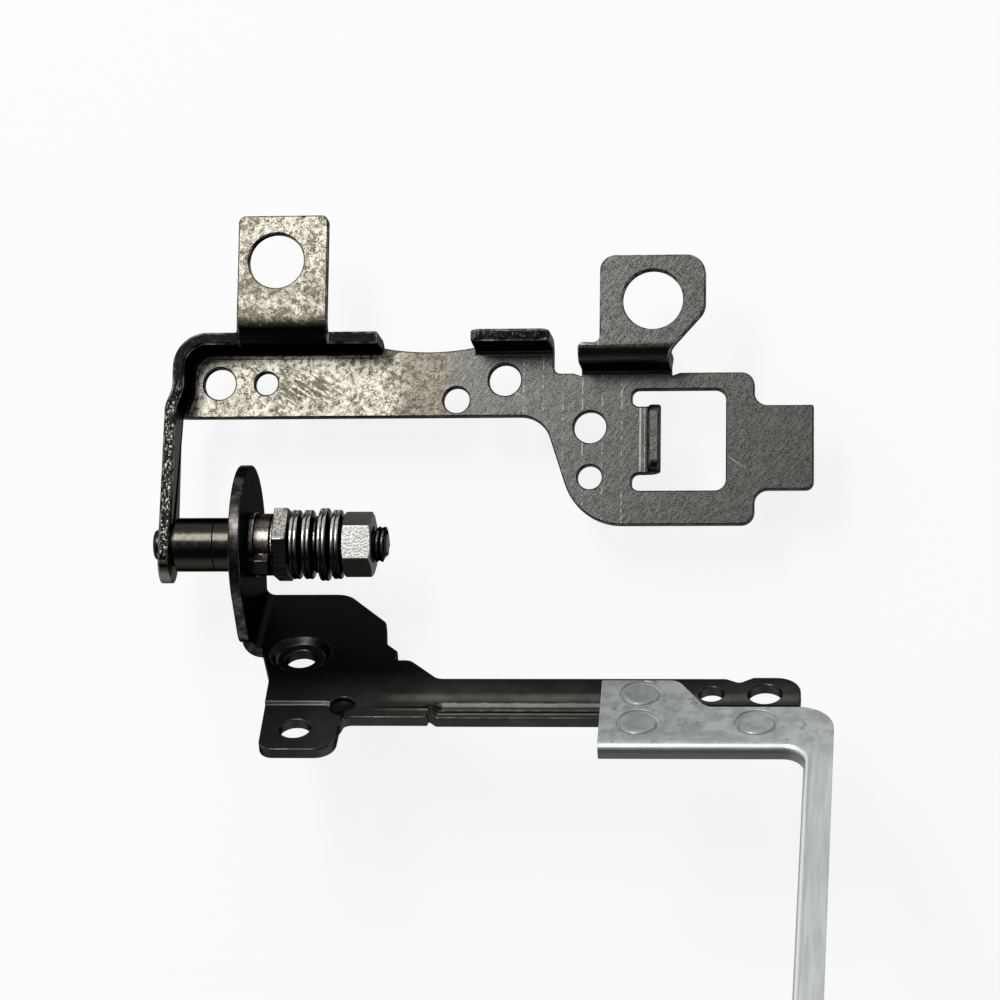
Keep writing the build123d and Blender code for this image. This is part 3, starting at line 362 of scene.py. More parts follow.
@dataclass(frozen=True)
class NickelPlating:
    """Dull nickel over steel sheet: mottled grey, with a painted highlight on the strip's left end that
    falls off to the right and on the tongue's root, and painted shade, near black, on steep faces and on
    faces turned to the left or back.
    """

    name: str = "nickel_plating"
    grey: Triple = (0.024, 0.024, 0.0225)
    light: Triple = (0.132, 0.130, 0.121)
    tarnish_and_falloff: Triple = (0.055, 0.047, 0.034)
    highlight_and_scratch: Triple = (0.335, 0.318, 0.266)
    bronze: Triple = (0.040, 0.036, 0.027)
    hatch: Triple = (0.030, 0.027, 0.021)
    fold: Triple = (0.010, 0.010, 0.009)
    highlight_start: float = 25.5
    highlight_end: float = 21.5
    falloff_start: float = 17.2
    falloff_full: float = 19.2
    die_mark: float = 2.4
    die_mark_end: float = 15.2
    roller_start: float = 30.5
    roller_pitch: float = 1.95
    roller_end: float = 40.8
    tab_start: float = 3.5
    tab_top: float = 14.0
    tongue_root: float = 42.0
    tongue_sides: tuple[float, float] = (-9.1, -2.7)
    hatch_along: tuple[float, float] = (5.5, 11.5)
    hatch_across: tuple[float, float] = (-2.2, 1.2)

    def die_line(self, s: Sketch, axes: dict[str, Socket]) -> Socket:
        """The line that the bending die left along the front wall.

        Args:
            s: the tree.
            axes: the object coordinates.

        Returns:
            The mask.
        """
        along = s.within(axes["Y"], self.die_mark, self.die_mark + 0.09, 0.04)
        along = s.maths("MULTIPLY", along, s.band(axes["X"], self.die_mark_end + 0.1, self.die_mark_end))
        across = s.within(axes["X"], self.die_mark_end, self.die_mark_end + 0.09, 0.04)
        across = s.maths("MULTIPLY", across, s.band(axes["Y"], self.die_mark - 0.05, self.die_mark))
        return s.maths("MAXIMUM", along, across)

    def roller_marks(self, s: Sketch, axes: dict[str, Socket]) -> Socket:
        """Rows of short dashes that the feed rollers left on the panel.

        Args:
            s: the tree.
            axes: the object coordinates.

        Returns:
            The mask.
        """
        row = s.raw("PINGPONG", s.raw("SUBTRACT", axes["X"], self.roller_start), self.roller_pitch / 2)
        dash = s.band(s.noise(s.millimetres(), 2.6, 2.0, 0.5), 0.50, 0.60)
        rows = s.maths("MULTIPLY", s.band(row, 0.09, 0.02), dash)
        rows = s.maths("MULTIPLY", rows, s.band(axes["Y"], self.tab_start, self.tab_start - 0.5))
        return s.maths("MULTIPLY", rows, s.within(axes["X"], self.roller_start - 0.5, self.roller_end, 0.1))

    def hatching(self, s: Sketch, axes: dict[str, Socket]) -> Socket:
        """A patch of slanting tool marks in the middle of the strip.

        Args:
            s: the tree.
            axes: the object coordinates.

        Returns:
            The mask.
        """
        lines = s.noise(s.millimetres((1.0, 0.16, 1.0), (0.0, 0.0, -52.0)), 3.4, 3.0, 0.55)
        patch = s.within(axes["X"], *self.hatch_along, 1.6)
        patch = s.maths("MULTIPLY", patch, s.within(axes["Y"], *self.hatch_across, 0.9))
        return s.maths("MULTIPLY", patch, s.band(lines, 0.46, 0.54))

    def material(self) -> bpy.types.Material:
        """Build the finish.

        Returns:
            The material.
        """
        s = Sketch(self.name)
        place = s.millimetres()
        axes = s.place()
        grain = s.noise(place, 9.0, 4.0, 0.7)
        streak = s.noise(s.millimetres((1.0, 0.16, 1.0), (0.0, 0.0, 38.0)), 4.2, 5.0, 0.7)
        dent = s.noise(place, 4.4, 4.0, 0.7)
        fleck = s.noise(place, 2.1, 8.0, 0.84)
        cloud = s.noise(place, 0.5, 5.0, 0.62)
        plate = s.blend(s.band(grain, 0.40, 0.62), self.grey, self.light)
        plate = s.blend(s.band(streak, 0.48, 0.62, 0.0, 0.75), plate, self.light)
        # The shine colours paint a highlight on the strip's left end, with dark flecks, tarnish patches and
        # tool marks in it.
        shine = s.blend(s.band(fleck, 0.42, 0.55), self.bronze, self.highlight_and_scratch)
        shine = s.blend(s.band(cloud, 0.54, 0.68, 0.0, 0.7), shine, self.tarnish_and_falloff)
        shine = s.blend(s.maths("MULTIPLY", self.hatching(s, axes), 0.85), shine, self.hatch)
        # Towards the right the painted highlight falls off into the tarnish colour and then into the plain
        # plate, along a line that the cloud makes uneven.
        reach = s.raw("MULTIPLY_ADD", s.raw("SUBTRACT", cloud, 0.5), 6.0, axes["X"])
        shine = s.blend(s.band(reach, self.falloff_start, self.falloff_full, 0.0, 0.68), shine, self.tarnish_and_falloff)
        colour = s.blend(s.band(reach, self.highlight_start, self.highlight_end), plate, shine)
        tab = s.maths("MULTIPLY", s.band(axes["Y"], self.tab_start, self.tab_start + 1.0), 0.9)
        tab = s.maths("MULTIPLY", tab, s.band(axes["X"], self.highlight_start, self.highlight_end))
        wear_and_sheen = s.band(fleck, 0.62, 0.44, 0.45, 1.0)
        wear_and_sheen = s.maths("MULTIPLY", wear_and_sheen, s.band(cloud, 0.35, 0.55, 0.45, 1.0))
        wear_and_sheen = s.maths("MULTIPLY", wear_and_sheen, s.band(axes["Y"], self.tab_top, self.tab_start, 0.6, 1.25))
        colour = s.blend(s.maths("MULTIPLY", tab, wear_and_sheen), colour, self.tarnish_and_falloff)
        # A painted highlight along the root of the tongue, where it bends up from the plate.
        root = s.within(axes["X"], self.tongue_root, self.tongue_root + 0.14, 0.05)
        root = s.maths("MULTIPLY", root, s.within(axes["Y"], *self.tongue_sides, 0.1))
        colour = s.blend(s.maths("MULTIPLY", root, s.band(fleck, 0.3, 0.55)), colour, self.highlight_and_scratch)
        marks = s.maths("MAXIMUM", s.scratches(24.0, 1.6, 0.74), s.scratches(-58.0, 1.3, 0.75))
        marks = s.maths("MAXIMUM", s.maths("MULTIPLY", marks, 0.7), self.roller_marks(s, axes))
        colour = s.blend(s.maths("MULTIPLY", marks, 0.6), colour, self.highlight_and_scratch)
        colour = s.blend(s.maths("MULTIPLY", self.die_line(s, axes), 0.9), colour, self.fold)
        # Steep faces, and faces turned to the left or back, take the near-black fold colour: painted shade.
        level = s.band(s.flatness(), 0.90, 0.985)
        level = s.maths("MAXIMUM", level, s.band(s.facing((1.0, -1.0, 0.0)), -0.05, -0.3))
        s.feed(s.shader.inputs["Base Color"], s.blend(level, self.fold, colour))
        s.feed(s.shader.inputs["Roughness"], s.band(grain, 0.3, 0.7, 0.26, 0.42))
        s.set(Metallic=1.0, Specular_Tint=(0.9, 0.9, 0.9))
        rough = s.maths("MULTIPLY", dent, s.band(axes["X"], self.highlight_start, self.highlight_end, 0.02, 0.8))
        s.bump(s.maths("ADD", rough, s.maths("MULTIPLY", streak, 0.04)), 0.038)
        return s.material


@dataclass(frozen=True)
class PaintedFoldShade:
    """Painted shade on the insides of folds and the cut sides of the sheet that turn to the front or the
    right: near black, lighter towards the right end and on the arm's inner side.
    """

    name: str = "nickel_painted_shade"
    left: Triple = (0.010, 0.010, 0.009)
    right: Triple = (0.032, 0.032, 0.029)
    arm_side: Triple = (0.16, 0.157, 0.145)
    left_end: float = 20.0
    right_start: float = 34.0
    arm_inside: float = -1.0
    arm_front: float = -2.5

    def material(self) -> bpy.types.Material:
        """Build the finish.

        Returns:
            The material.
        """
        s = Sketch(self.name)
        axes = s.place()
        drawn = s.noise(s.millimetres((0.15, 1.0, 1.0)), 5.0, 3.0, 0.6)
        colour = s.blend(s.band(axes["X"], self.left_end, self.right_start), self.left, self.right)
        arm = s.band(axes["X"], self.arm_inside, self.arm_inside - 1.0)
        arm = s.maths("MULTIPLY", arm, s.band(axes["Y"], self.arm_front, self.arm_front - 2.0))
        colour = s.blend(arm, colour, self.arm_side)
        s.feed(s.shader.inputs["Base Color"], colour)
        s.feed(s.shader.inputs["Roughness"], s.band(drawn, 0.3, 0.7, 0.25, 0.40))
        s.set(Metallic=1.0, Specular_Tint=(0.25, 0.25, 0.25))
        s.bump(drawn, 0.01)
        return s.material


@dataclass(frozen=True)
class ShearedEdge:
    """The cut rim of a sheet: near black as painted shade, with bright burrs, most of them on the arm and a
    few on the flange.
    """

    name: str = "sheared_edge"
    dark: Triple = (0.0025, 0.0025, 0.0022)
    bright: Triple = (0.25, 0.24, 0.215)
    start: float = 0.52
    end: float = 0.64
    arm_start: float = 0.0
    arm_full: float = -3.0
    flange_start: float = 22.0

    def material(self) -> bpy.types.Material:
        """Build the finish.

        Returns:
            The material.
        """
        s = Sketch(self.name)
        axes = s.place()
        torn = s.noise(s.millimetres((1.0, 0.5, 0.7)), 5.0, 5.0, 0.75)
        share = s.band(torn, self.start, self.end)
        arm = s.band(axes["Y"], self.arm_start, self.arm_full, 0.03, 0.62)
        flange = s.band(axes["X"], self.flange_start, self.flange_start + 2.0, 0.0, 0.22)
        share = s.maths("MULTIPLY", share, s.maths("MAXIMUM", arm, flange))
        # The near-black colour is painted shade; the bright share is burrs.
        s.feed(s.shader.inputs["Base Color"], s.blend(share, self.dark, self.bright))
        s.set(Metallic=1.0, Roughness=0.32, Specular_Tint=(0.3, 0.3, 0.3))
        s.bump(torn, 0.012)
        return s.material


@dataclass(frozen=True)
class RolledEdge:
    """A broken edge, a patchy mix of a dark and a bare colour: edge wear, except on the base bracket's wall
    tops, where the bright colour is a painted highlight.
    """

    name: str
    dark: Triple
    bare: Triple
    roughness: float = 0.3

    def material(self) -> bpy.types.Material:
        """Build the finish.

        Returns:
            The material.
        """
        s = Sketch(self.name)
        wear = s.noise(s.millimetres(), 1.1, 4.0, 0.6)
        s.feed(s.shader.inputs["Base Color"], s.blend(s.band(wear, 0.38, 0.68), self.dark, self.bare))
        s.set(Metallic=1.0, Roughness=self.roughness, Specular_Tint=(0.25, 0.25, 0.25))
        s.bump(wear, 0.006)
        return s.material


@dataclass(frozen=True)
class BlackOxide:
    """Satin black oxide with painted shade beside the ear and on the tab, a painted sheen with brighter
    patches on the strip and a painted shadow in the groove; a bump rolls it softly over towards the ledge.
    """

    name: str = "black_oxide"
    shaded_black: Triple = (0.021, 0.0205, 0.019)
    wear_and_sheen: Triple = (0.056, 0.0543, 0.0498)
    bright: Triple = (0.088, 0.0855, 0.078)
    groove_shade: Triple = (0.006, 0.006, 0.0055)
    shade_end: float = 8.0
    sheen_start: float = 13.0
    roll_start: float = 12.5
    roll_end: float = 14.1
    roll_left: float = 18.0
    roll_depth: float = 0.5
    groove_start: float = 14.45
    groove_end: float = 14.75
    groove_left: float = 18.5
    bead_start: float = 14.95
    bead_end: float = 15.25
    tab_end: float = 9.5

    def material(self) -> bpy.types.Material:
        """Build the finish.

        Returns:
            The material.
        """
        s = Sketch(self.name)
        place = s.millimetres()
        lid = s.place(LID_AXES)
        out = s.raw("MULTIPLY", lid["Y"], -1.0)
        cloud = s.noise(place, 0.45, 4.0, 0.55)
        grain = s.noise(place, 6.0, 4.0, 0.65)
        # Near the ear the plate takes the painted-shade black; out on the strip it takes a painted sheen
        # with brighter cloud patches.
        wear_and_sheen = s.band(out, self.shade_end, self.sheen_start)
        patchy = s.blend(s.band(cloud, 0.45, 0.7, 0.0, 0.6), self.wear_and_sheen, self.bright)
        colour = s.blend(wear_and_sheen, self.shaded_black, patchy)
        # Painted shade darkens the tab at the plate's left end.
        colour = s.blend(s.band(lid["X"], self.tab_end, self.tab_end - 3.0, 0.0, 0.5), colour, self.shaded_black)
        # A painted shadow along the groove above the bead.
        groove_shade = s.within(out, self.groove_start, self.groove_end, 0.06)
        groove_shade = s.maths("MULTIPLY", groove_shade, s.band(lid["X"], self.groove_left, self.groove_left + 1.5))
        colour = s.blend(s.maths("MULTIPLY", groove_shade, 0.9), colour, self.groove_shade)
        s.feed(s.shader.inputs["Base Color"], colour)
        s.feed(s.shader.inputs["Roughness"], s.band(grain, 0.3, 0.7, 0.30, 0.42))
        s.set(Metallic=1.0, Specular_Tint=(0.1, 0.1, 0.1))
        roll = s.band(out, self.roll_start, self.roll_end, 0.97, 0.0)
        bead = s.maths("MULTIPLY", s.within(out, self.bead_start, self.bead_end, 0.25), 0.4)
        roll = s.maths("MAXIMUM", roll, bead)
        roll = s.maths("MULTIPLY", roll, s.band(lid["X"], self.roll_left - 5.0, self.roll_left + 2.0))
        s.bump(s.maths("ADD", roll, s.maths("MULTIPLY", grain, 0.02)), self.roll_depth)
        return s.material


@dataclass(frozen=True)
class CloudyZinc:
    """Pale zinc with grey clouds and stains, brighter down the leg, with a painted highlight along the fold
    and painted shade on the flange below it.
    """

    name: str
    pale: Triple
    cloud: Triple
    stain: Triple
    bright: Triple
    flange: Triple
    glint: Triple
    leg_start: float = 19.5
    leg_full: float = 27.0
    fold_top: float = -8.56
    fold_low: float = -8.85

    def material(self) -> bpy.types.Material:
        """Build the finish.

        Returns:
            The material.
        """
        s = Sketch(self.name)
        place = s.millimetres()
        lid = s.place(LID_AXES)
        cloud = s.noise(place, 0.6, 5.0, 0.62)
        blot = s.noise(place, 0.9, 4.0, 0.6)
        grain = s.noise(place, 5.0, 3.0, 0.6)
        brushed = s.noise(s.millimetres((1.0, 0.06, 0.06)), 2.6, 3.0, 0.6)
        leg = s.band(s.raw("MULTIPLY", lid["Y"], -1.0), self.leg_start, self.leg_full)
        colour = s.blend(s.band(cloud, 0.38, 0.62), self.cloud, self.pale)
        colour = s.blend(s.band(blot, 0.58, 0.72, 0.0, 0.75), colour, self.stain)
        colour = s.blend(leg, colour, s.blend(s.band(brushed, 0.3, 0.7), self.pale, self.bright))
        # A painted highlight along the top of the fold.
        painted_glint = s.within(lid["Z"], self.fold_top, self.fold_top + 0.2, 0.08)
        colour = s.blend(painted_glint, colour, self.glint)
        # Painted shade on the flange that hangs below the fold.
        colour = s.blend(s.band(lid["Z"], self.fold_top, self.fold_low), colour, self.flange)
        s.feed(s.shader.inputs["Base Color"], colour)
        s.feed(s.shader.inputs["Roughness"], s.band(grain, 0.3, 0.7, 0.30, 0.44))
        s.set(Metallic=0.5)
        s.bump(grain, 0.006)
        return s.material


@dataclass(frozen=True)
class TurnedSteel:
    """Bare or blued steel, turned or stamped; level faces, and with lean the faces turned to +Y, take the
    fleck colours while steep faces take the side colour: painted light and shade.
    """

    name: str
    dark: Triple
    bright: Triple
    side: Triple
    roughness: float
    fleck: float = 3.0
    depth: float = 0.004
    lines: float = 5.0
    sheen: tuple[float, float] = (0.62, 0.9)
    lean: float = 0.0

    def material(self) -> bpy.types.Material:
        """Build the finish.

        Returns:
            The material.
        """
        s = Sketch(self.name)
        lines = s.noise(s.millimetres((1.0, 0.12, 0.12)), self.lines, 2.0, 0.5)
        fleck = s.noise(s.millimetres(), self.fleck, 4.0, 0.65)
        share = s.maths("MULTIPLY", s.band(lines, 0.2, 0.6, 0.6, 1.0), s.band(fleck, 0.32, 0.66))
        colour = s.blend(share, self.dark, self.bright)
        # Painted light and shade: the share of the fleck colours grows on level faces and, with lean, on
        # faces turned to +Y.
        painted_light_share = s.raw("MULTIPLY_ADD", s.facing((0.0, 1.0, 0.0)), self.lean, s.flatness())
        s.feed(s.shader.inputs["Base Color"], s.blend(s.band(painted_light_share, *self.sheen), self.side, colour))
        s.feed(s.shader.inputs["Roughness"], s.band(fleck, 0.3, 0.7, self.roughness, self.roughness + 0.1))
        s.set(Metallic=1.0, Specular_Tint=(0.3, 0.3, 0.3))
        s.bump(fleck, self.depth)
        return s.material


@dataclass(frozen=True)
class SoftEdge:
    """Edges inside a box that are rounded to a width of their own."""

    low: Triple
    high: Triple
    width: float

    def holds(self, point: Vector) -> bool:
        """Whether a point in millimetres lies in the box."""
        return all(a <= p <= b for a, p, b in zip(self.low, point, self.high))


@dataclass(frozen=True)
class Rounding:
    """How a part's sharp edges are broken."""

    width: float = 0.1
    segments: int = 2
    sharp: float = 32.0
    flat: float = 0.4
    axes: Axes = Axes()
    soft: tuple[SoftEdge, ...] = ()

    def width_at(self, edge: bmesh.types.BMEdge) -> float:
        """The rounding of one edge.

        Args:
            edge: a sharp edge.

        Returns:
            Its width in millimetres.
        """
        ends = [self.axes.local(v.co) for v in edge.verts]
        for soft in self.soft:
            if all(soft.holds(end) for end in ends):
                return soft.width
        return self.width

    def copy(
        self, node: str, name: str, materials: list[bpy.types.Material], wear_and_sheen: int = 0
    ) -> bpy.types.Object:
        """Copy a CAD node with its edges rounded.

        Args:
            node: the CAD node.
            name: the new piece's name.
            materials: the piece's materials.
            wear_and_sheen: index of the material on the rounded edges.

        Returns:
            A plain mesh object at the origin.
        """
        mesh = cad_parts[node].data.copy()
        mesh.materials.clear()
        for material in materials:
            mesh.materials.append(material)
        welded = bmesh.new()
        welded.from_mesh(mesh)
        bmesh.ops.remove_doubles(welded, verts=welded.verts, dist=WELD * MM)
        bmesh.ops.dissolve_degenerate(welded, dist=WELD * MM, edges=welded.edges)
        bmesh.ops.dissolve_limit(
            welded, angle_limit=math.radians(self.flat), verts=welded.verts, edges=welded.edges
        )
        weight = welded.edges.layers.float.new("bevel_weight_edge")
        widest = max([self.width, *(soft.width for soft in self.soft)])
        for face in welded.faces:
            face.smooth = True
            face.material_index = 0
        for edge in welded.edges:
            if edge.calc_face_angle(0.0) > math.radians(self.sharp):
                edge[weight] = self.width_at(edge) / widest
        welded.to_mesh(mesh)
        welded.free()
        mesh.set_sharp_from_angle(angle=math.radians(self.sharp))
        piece = bpy.data.objects.new(name, mesh)
        bpy.context.scene.collection.objects.link(piece)
        bevel = piece.modifiers.new("broken_edges", "BEVEL")
        bevel.limit_method = "WEIGHT"
        bevel.width = widest * MM
        bevel.segments = self.segments
        bevel.material = wear_and_sheen
        bevel.use_clamp_overlap = False
        bevel.loop_slide = False
        weighted = piece.modifiers.new("flat_faces", "WEIGHTED_NORMAL")
        weighted.keep_sharp = True
        return self.tuck(settle(piece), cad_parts[node].data, widest)

    def tuck(self, piece: bpy.types.Object, part: bpy.types.Mesh, widest: float) -> bpy.types.Object:
        """Bring back corners that the rounding has thrown off the part.

        Args:
            piece: the rounded copy.
            part: the CAD mesh.
            widest: the widest rounding in millimetres.

        Returns:
            The same piece.
        """
        surface = BVHTree.FromPolygons([v.co for v in part.vertices], [f.vertices[:] for f in part.polygons])
        for vertex in piece.data.vertices:
            nearest, _, _, away = surface.find_nearest(vertex.co)
            if away > widest / 2 * MM:
                vertex.co = nearest
        return piece


class Pattern:
    """A Geometry Nodes tree under construction, with named inputs."""

    def __init__(self, name: str) -> None:
        """Start an empty tree.

        Args:
            name: the tree's name.
        """
        self.tree = bpy.data.node_groups.new(name, "GeometryNodeTree")
        for way in ("INPUT", "OUTPUT"):
            self.tree.interface.new_socket("Geometry", in_out=way, socket_type="NodeSocketGeometry")
        self.start = self.tree.nodes.new("NodeGroupInput")
        self.end = self.tree.nodes.new("NodeGroupOutput")
        self.values: dict[str, float | int | Triple] = {}

    def size(self, name: str, value: float | int | Triple) -> Socket:
        """Add a named input.

        Args:
            name: the input's name.
            value: its value; lengths are in metres.

        Returns:
            The socket inside the tree.
        """
        kinds = {int: "NodeSocketInt", float: "NodeSocketFloat", tuple: "NodeSocketVector"}
        socket = self.tree.interface.new_socket(name, in_out="INPUT", socket_type=kinds[type(value)])
        self.values[socket.identifier] = value
        return self.start.outputs[name]

    def node(
        self, kind: str, *inputs: Socket | float | int | Triple | None, **settings: str
    ) -> bpy.types.Node:
        """Add a node.

        Args:
            kind: Blender's name of the node, without its prefix.
            inputs: links and constants for its inputs in order; None leaves one alone.
            settings: properties of the node.

        Returns:
            The node.
        """
        node = self.tree.nodes.new(kind)
        for name, value in settings.items():
            setattr(node, name, value)
        for socket, value in zip(node.inputs, inputs):
            if isinstance(value, bpy.types.NodeSocket):
                self.tree.links.new(value, socket)
            elif value is not None:
                socket.default_value = value
        return node

    def maths(self, operation: str, first: Socket | float, second: Socket | float = 0.0) -> Socket:
        """One arithmetic step."""
        return self.node("ShaderNodeMath", first, second, operation=operation).outputs[0]

    def vector(self, x: Socket | float, y: Socket | float, z: Socket | float) -> Socket:
        """A vector from its three parts."""
        return self.node("ShaderNodeCombineXYZ", x, y, z).outputs[0]

    def make(
        self, geometry: Socket, material: bpy.types.Material, piece: bpy.types.Object
    ) -> bpy.types.Object:
        """Close the tree and turn the piece into its result.

        Args:
            geometry: the finished geometry.
            material: the finish.
            piece: the object whose mesh goes in.

        Returns:
            The same object, with a plain mesh.
        """
        real = self.node("GeometryNodeRealizeInstances", geometry)
        dressed = self.node("GeometryNodeSetMaterial", real.outputs[0], None, material)
        self.tree.links.new(dressed.outputs[0], self.end.inputs[0])
        modifier = piece.modifiers.new(self.tree.name, "NODES")
        modifier.node_group = self.tree
        for identifier, value in self.values.items():
            modifier[identifier] = value
        return settle(piece)


def settle(piece: bpy.types.Object) -> bpy.types.Object:
    """Turn an object's modifiers into a plain mesh.

    Args:
        piece: the object.

    Returns:
        The same object, with no modifiers.
    """
    depsgraph = bpy.context.evaluated_depsgraph_get()
    mesh = bpy.data.meshes.new_from_object(piece.evaluated_get(depsgraph), depsgraph=depsgraph)
    piece.modifiers.clear()
    piece.data = mesh
    return piece


def revolved(
    name: str, profile: list[tuple[float, float]], axis: str, closed: bool, steps: int
) -> bpy.types.Object:
    """Turn a profile round an axis.

    Args:
        name: the object's name.
        profile: heights along the axis and radii, in millimetres.
        axis: X or Z.
        closed: whether the profile's last point joins its first.
        steps: facets round the axis.

    Returns:
        A new object with its faces outwards.
    """
    work = bmesh.new()
    rings = []
    for step in range(steps):
        angle = math.tau * step / steps
        ring = []
        for height, radius in profile:
            round_a, round_b = radius * math.cos(angle), radius * math.sin(angle)
            place = (height, round_a, round_b) if axis == "X" else (round_a, round_b, height)
            ring.append(work.verts.new(Vector(place) * MM))
        rings.append(ring)
    spans = len(profile) if closed else len(profile) - 1
    for step in range(steps):
        this, after = rings[step], rings[(step + 1) % steps]
        for span in range(spans):
            far = (span + 1) % len(profile)
            work.faces.new((this[span], this[far], after[far], after[span]))
    bmesh.ops.remove_doubles(work, verts=work.verts, dist=SEAM * MM)
    bmesh.ops.recalc_face_normals(work, faces=work.faces)
    for face in work.faces:
        face.smooth = True
    mesh = bpy.data.meshes.new(name)
    work.to_mesh(mesh)
    work.free()
    mesh.set_sharp_from_angle(angle=math.radians(TURNED_SHARP))
    piece = bpy.data.objects.new(name, mesh)
    bpy.context.scene.collection.objects.link(piece)
    return piece


def dress(piece: bpy.types.Object, body: Body, slot: Slot, *nodes: str) -> None:
    """Give a piece its body and hide the CAD nodes that it stands for.

    Args:
        piece: the piece.
        body: the body that it rides on.
        slot: the record's material slot; not used.
        nodes: the CAD nodes that it replaces.
    """
    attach(piece, body.value)
    if nodes:
        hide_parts(*nodes)
    LOG.info("%s: %d faces on body %s", piece.name, len(piece.data.polygons), body.value)


@dataclass
class BaseBracket:
    """The plated bracket that is screwed to the laptop's base."""

    rounding: Rounding = Rounding(
        width=0.14,
        soft=(
            SoftEdge((25.0, 3.0, 5.5), (34.0, 4.5, 7.0), 0.28),
            SoftEdge((42.0, -9.5, 2.0), (44.5, -2.0, 3.5), 0.25),
            SoftEdge((-6.0, -20.0, 5.5), (16.6, 4.5, 8.0), 0.22),
        )
    )
    plating: NickelPlating = NickelPlating()
    fold: PaintedFoldShade = PaintedFoldShade()
    rim: ShearedEdge = ShearedEdge()
    edge: RolledEdge = RolledEdge("nickel_edge", (0.04, 0.04, 0.038), (0.12, 0.118, 0.11))
    # A painted highlight for the rounded edges high on the walls.
    painted_glint: RolledEdge = RolledEdge("painted_highlight_edge", (0.03, 0.0295, 0.027), (0.30, 0.29, 0.26), 0.24)
    rim_low: float = 5.5
    rim_end: float = 35.0
    tab_start: float = 2.3
    tab_end: float = 11.6
    tab_front: float = 2.9
    level: float = 0.97
    steep: float = 0.9
    turned: float = -0.2

    def is_rim(self, face: bpy.types.MeshPolygon) -> bool:
        """Whether a face is the top of a wall, the arm or the flange.

        Args:
            face: a face of the bracket.

        Returns:
            True on a rim.
        """
        x, y, z = face.center / MM
        on_tab = self.tab_start < x < self.tab_end and y > self.tab_front
        return z > self.rim_low and face.normal.z > self.level and x < self.rim_end and not on_tab

    def is_fold(self, face: bpy.types.MeshPolygon) -> bool:
        """Whether a face of the sheet is steep and turned to the front or the right.

        Args:
            face: a face of the bracket.

        Returns:
            True on a fold or a cut side.
        """
        steep = abs(face.normal.z) < self.steep
        turned = face.normal.x - face.normal.y > self.turned
        return face.material_index == BaseFace.PLATE and steep and turned

    def build(self) -> None:
        """Make and dress the bracket."""
        finishes = (self.plating, self.edge, self.rim, self.fold, self.painted_glint)
        materials = [finish.material() for finish in finishes]
        piece = self.rounding.copy("base_bracket", "base_bracket_plated", materials, BaseFace.EDGE)
        # Rim tops take the near-black rim finish as painted shade, steep faces turned to the front or right
        # take the painted fold shade, and rounded edges high on the walls take the painted highlight.
        for face in piece.data.polygons:
            if self.is_rim(face):
                face.material_index = BaseFace.RIM
            elif self.is_fold(face):
                face.material_index = BaseFace.FOLD
            elif face.material_index == BaseFace.EDGE and face.center.z > self.rim_low * MM:
                face.material_index = BaseFace.HIGHLIGHT_EDGE
        dress(piece, Body.BASE, Slot.BASE, "base_bracket")


@dataclass
class LidBracket:
    """The black bracket behind the screen, with the ear that turns on the shaft."""

    rounding: Rounding = Rounding(width=0.12)
    oxide: BlackOxide = BlackOxide()
    rubbed: RolledEdge = RolledEdge("rubbed_oxide", (0.028, 0.027, 0.025), (0.07, 0.068, 0.062), 0.32)
    floor: RolledEdge = RolledEdge("dull_oxide", (0.010, 0.0098, 0.009), (0.024, 0.0235, 0.022), 0.4)
    rim: RolledEdge = RolledEdge("ear_rim", (0.020, 0.0186, 0.0165), (0.075, 0.0705, 0.064), 0.3)
    ear_end: float = 4.3
    rim_start: float = 6.0
    rim_turn: float = 0.5
    crease: float = -14.0
    crease_reach: float = 1.0
    crease_end: float = 9.9
    crease_low: float = -9.6
    pin_place: Triple = (11.05, -14.4, 0.0)
    pin_facets: int = 32
    pin_profile: tuple[tuple[float, float], ...] = (
        (-9.72, 0.0), (-9.7, 0.6), (-9.6, 1.0), (-9.5, 1.19), (-9.95, 1.19), (-9.95, 0.0),
    )

    def is_ear_rim(self, face: bpy.types.MeshPolygon) -> bool:
        """Whether a face is on the cut rim round the ear.

        Args:
            face: a face of the bracket.

        Returns:
            True on the rim.
        """
        away = math.hypot(*(face.center / MM - Vector(LID_AXES.origin)).yz)
        upright = abs(face.normal.x) < self.rim_turn
        return face.center.x / MM < self.ear_end and upright and away > self.rim_start

    def is_crease(self, face: bpy.types.MeshPolygon) -> bool:
        """Whether a face is in the step between the plate and its tab.

        Args:
            face: a face of the bracket.

        Returns:
            True in the step.
        """
        x, y, z = LID_AXES.local(face.center)
        return x < self.crease_end and abs(y - self.crease) < self.crease_reach and z > self.crease_low

    def pin_floor(self) -> bpy.types.Object:
        """Close the locating hole beside the tab with a sunken floor.

        Returns:
            The floor.
        """
        piece = revolved("lid_pin_floor", list(self.pin_profile), "Z", False, self.pin_facets)
        piece.data.transform(LID_AXES.matrix() @ Matrix.Translation(Vector(self.pin_place) * MM))
        piece.data.materials.append(self.floor.material())
        return piece

    def build(self) -> None:
        """Make and dress the bracket."""
        materials = [self.oxide.material(), self.rubbed.material(), self.rim.material()]
        piece = self.rounding.copy("lid_bracket", "lid_bracket_black", materials, LidFace.EDGE)
        for face in piece.data.polygons:
            if self.is_ear_rim(face):
                face.material_index = LidFace.EAR_RIM
            elif self.is_crease(face):
                face.material_index = LidFace.PLATE
        dress(piece, Body.LID, Slot.LID, "lid_bracket")
        dress(self.pin_floor(), Body.LID, Slot.LID)


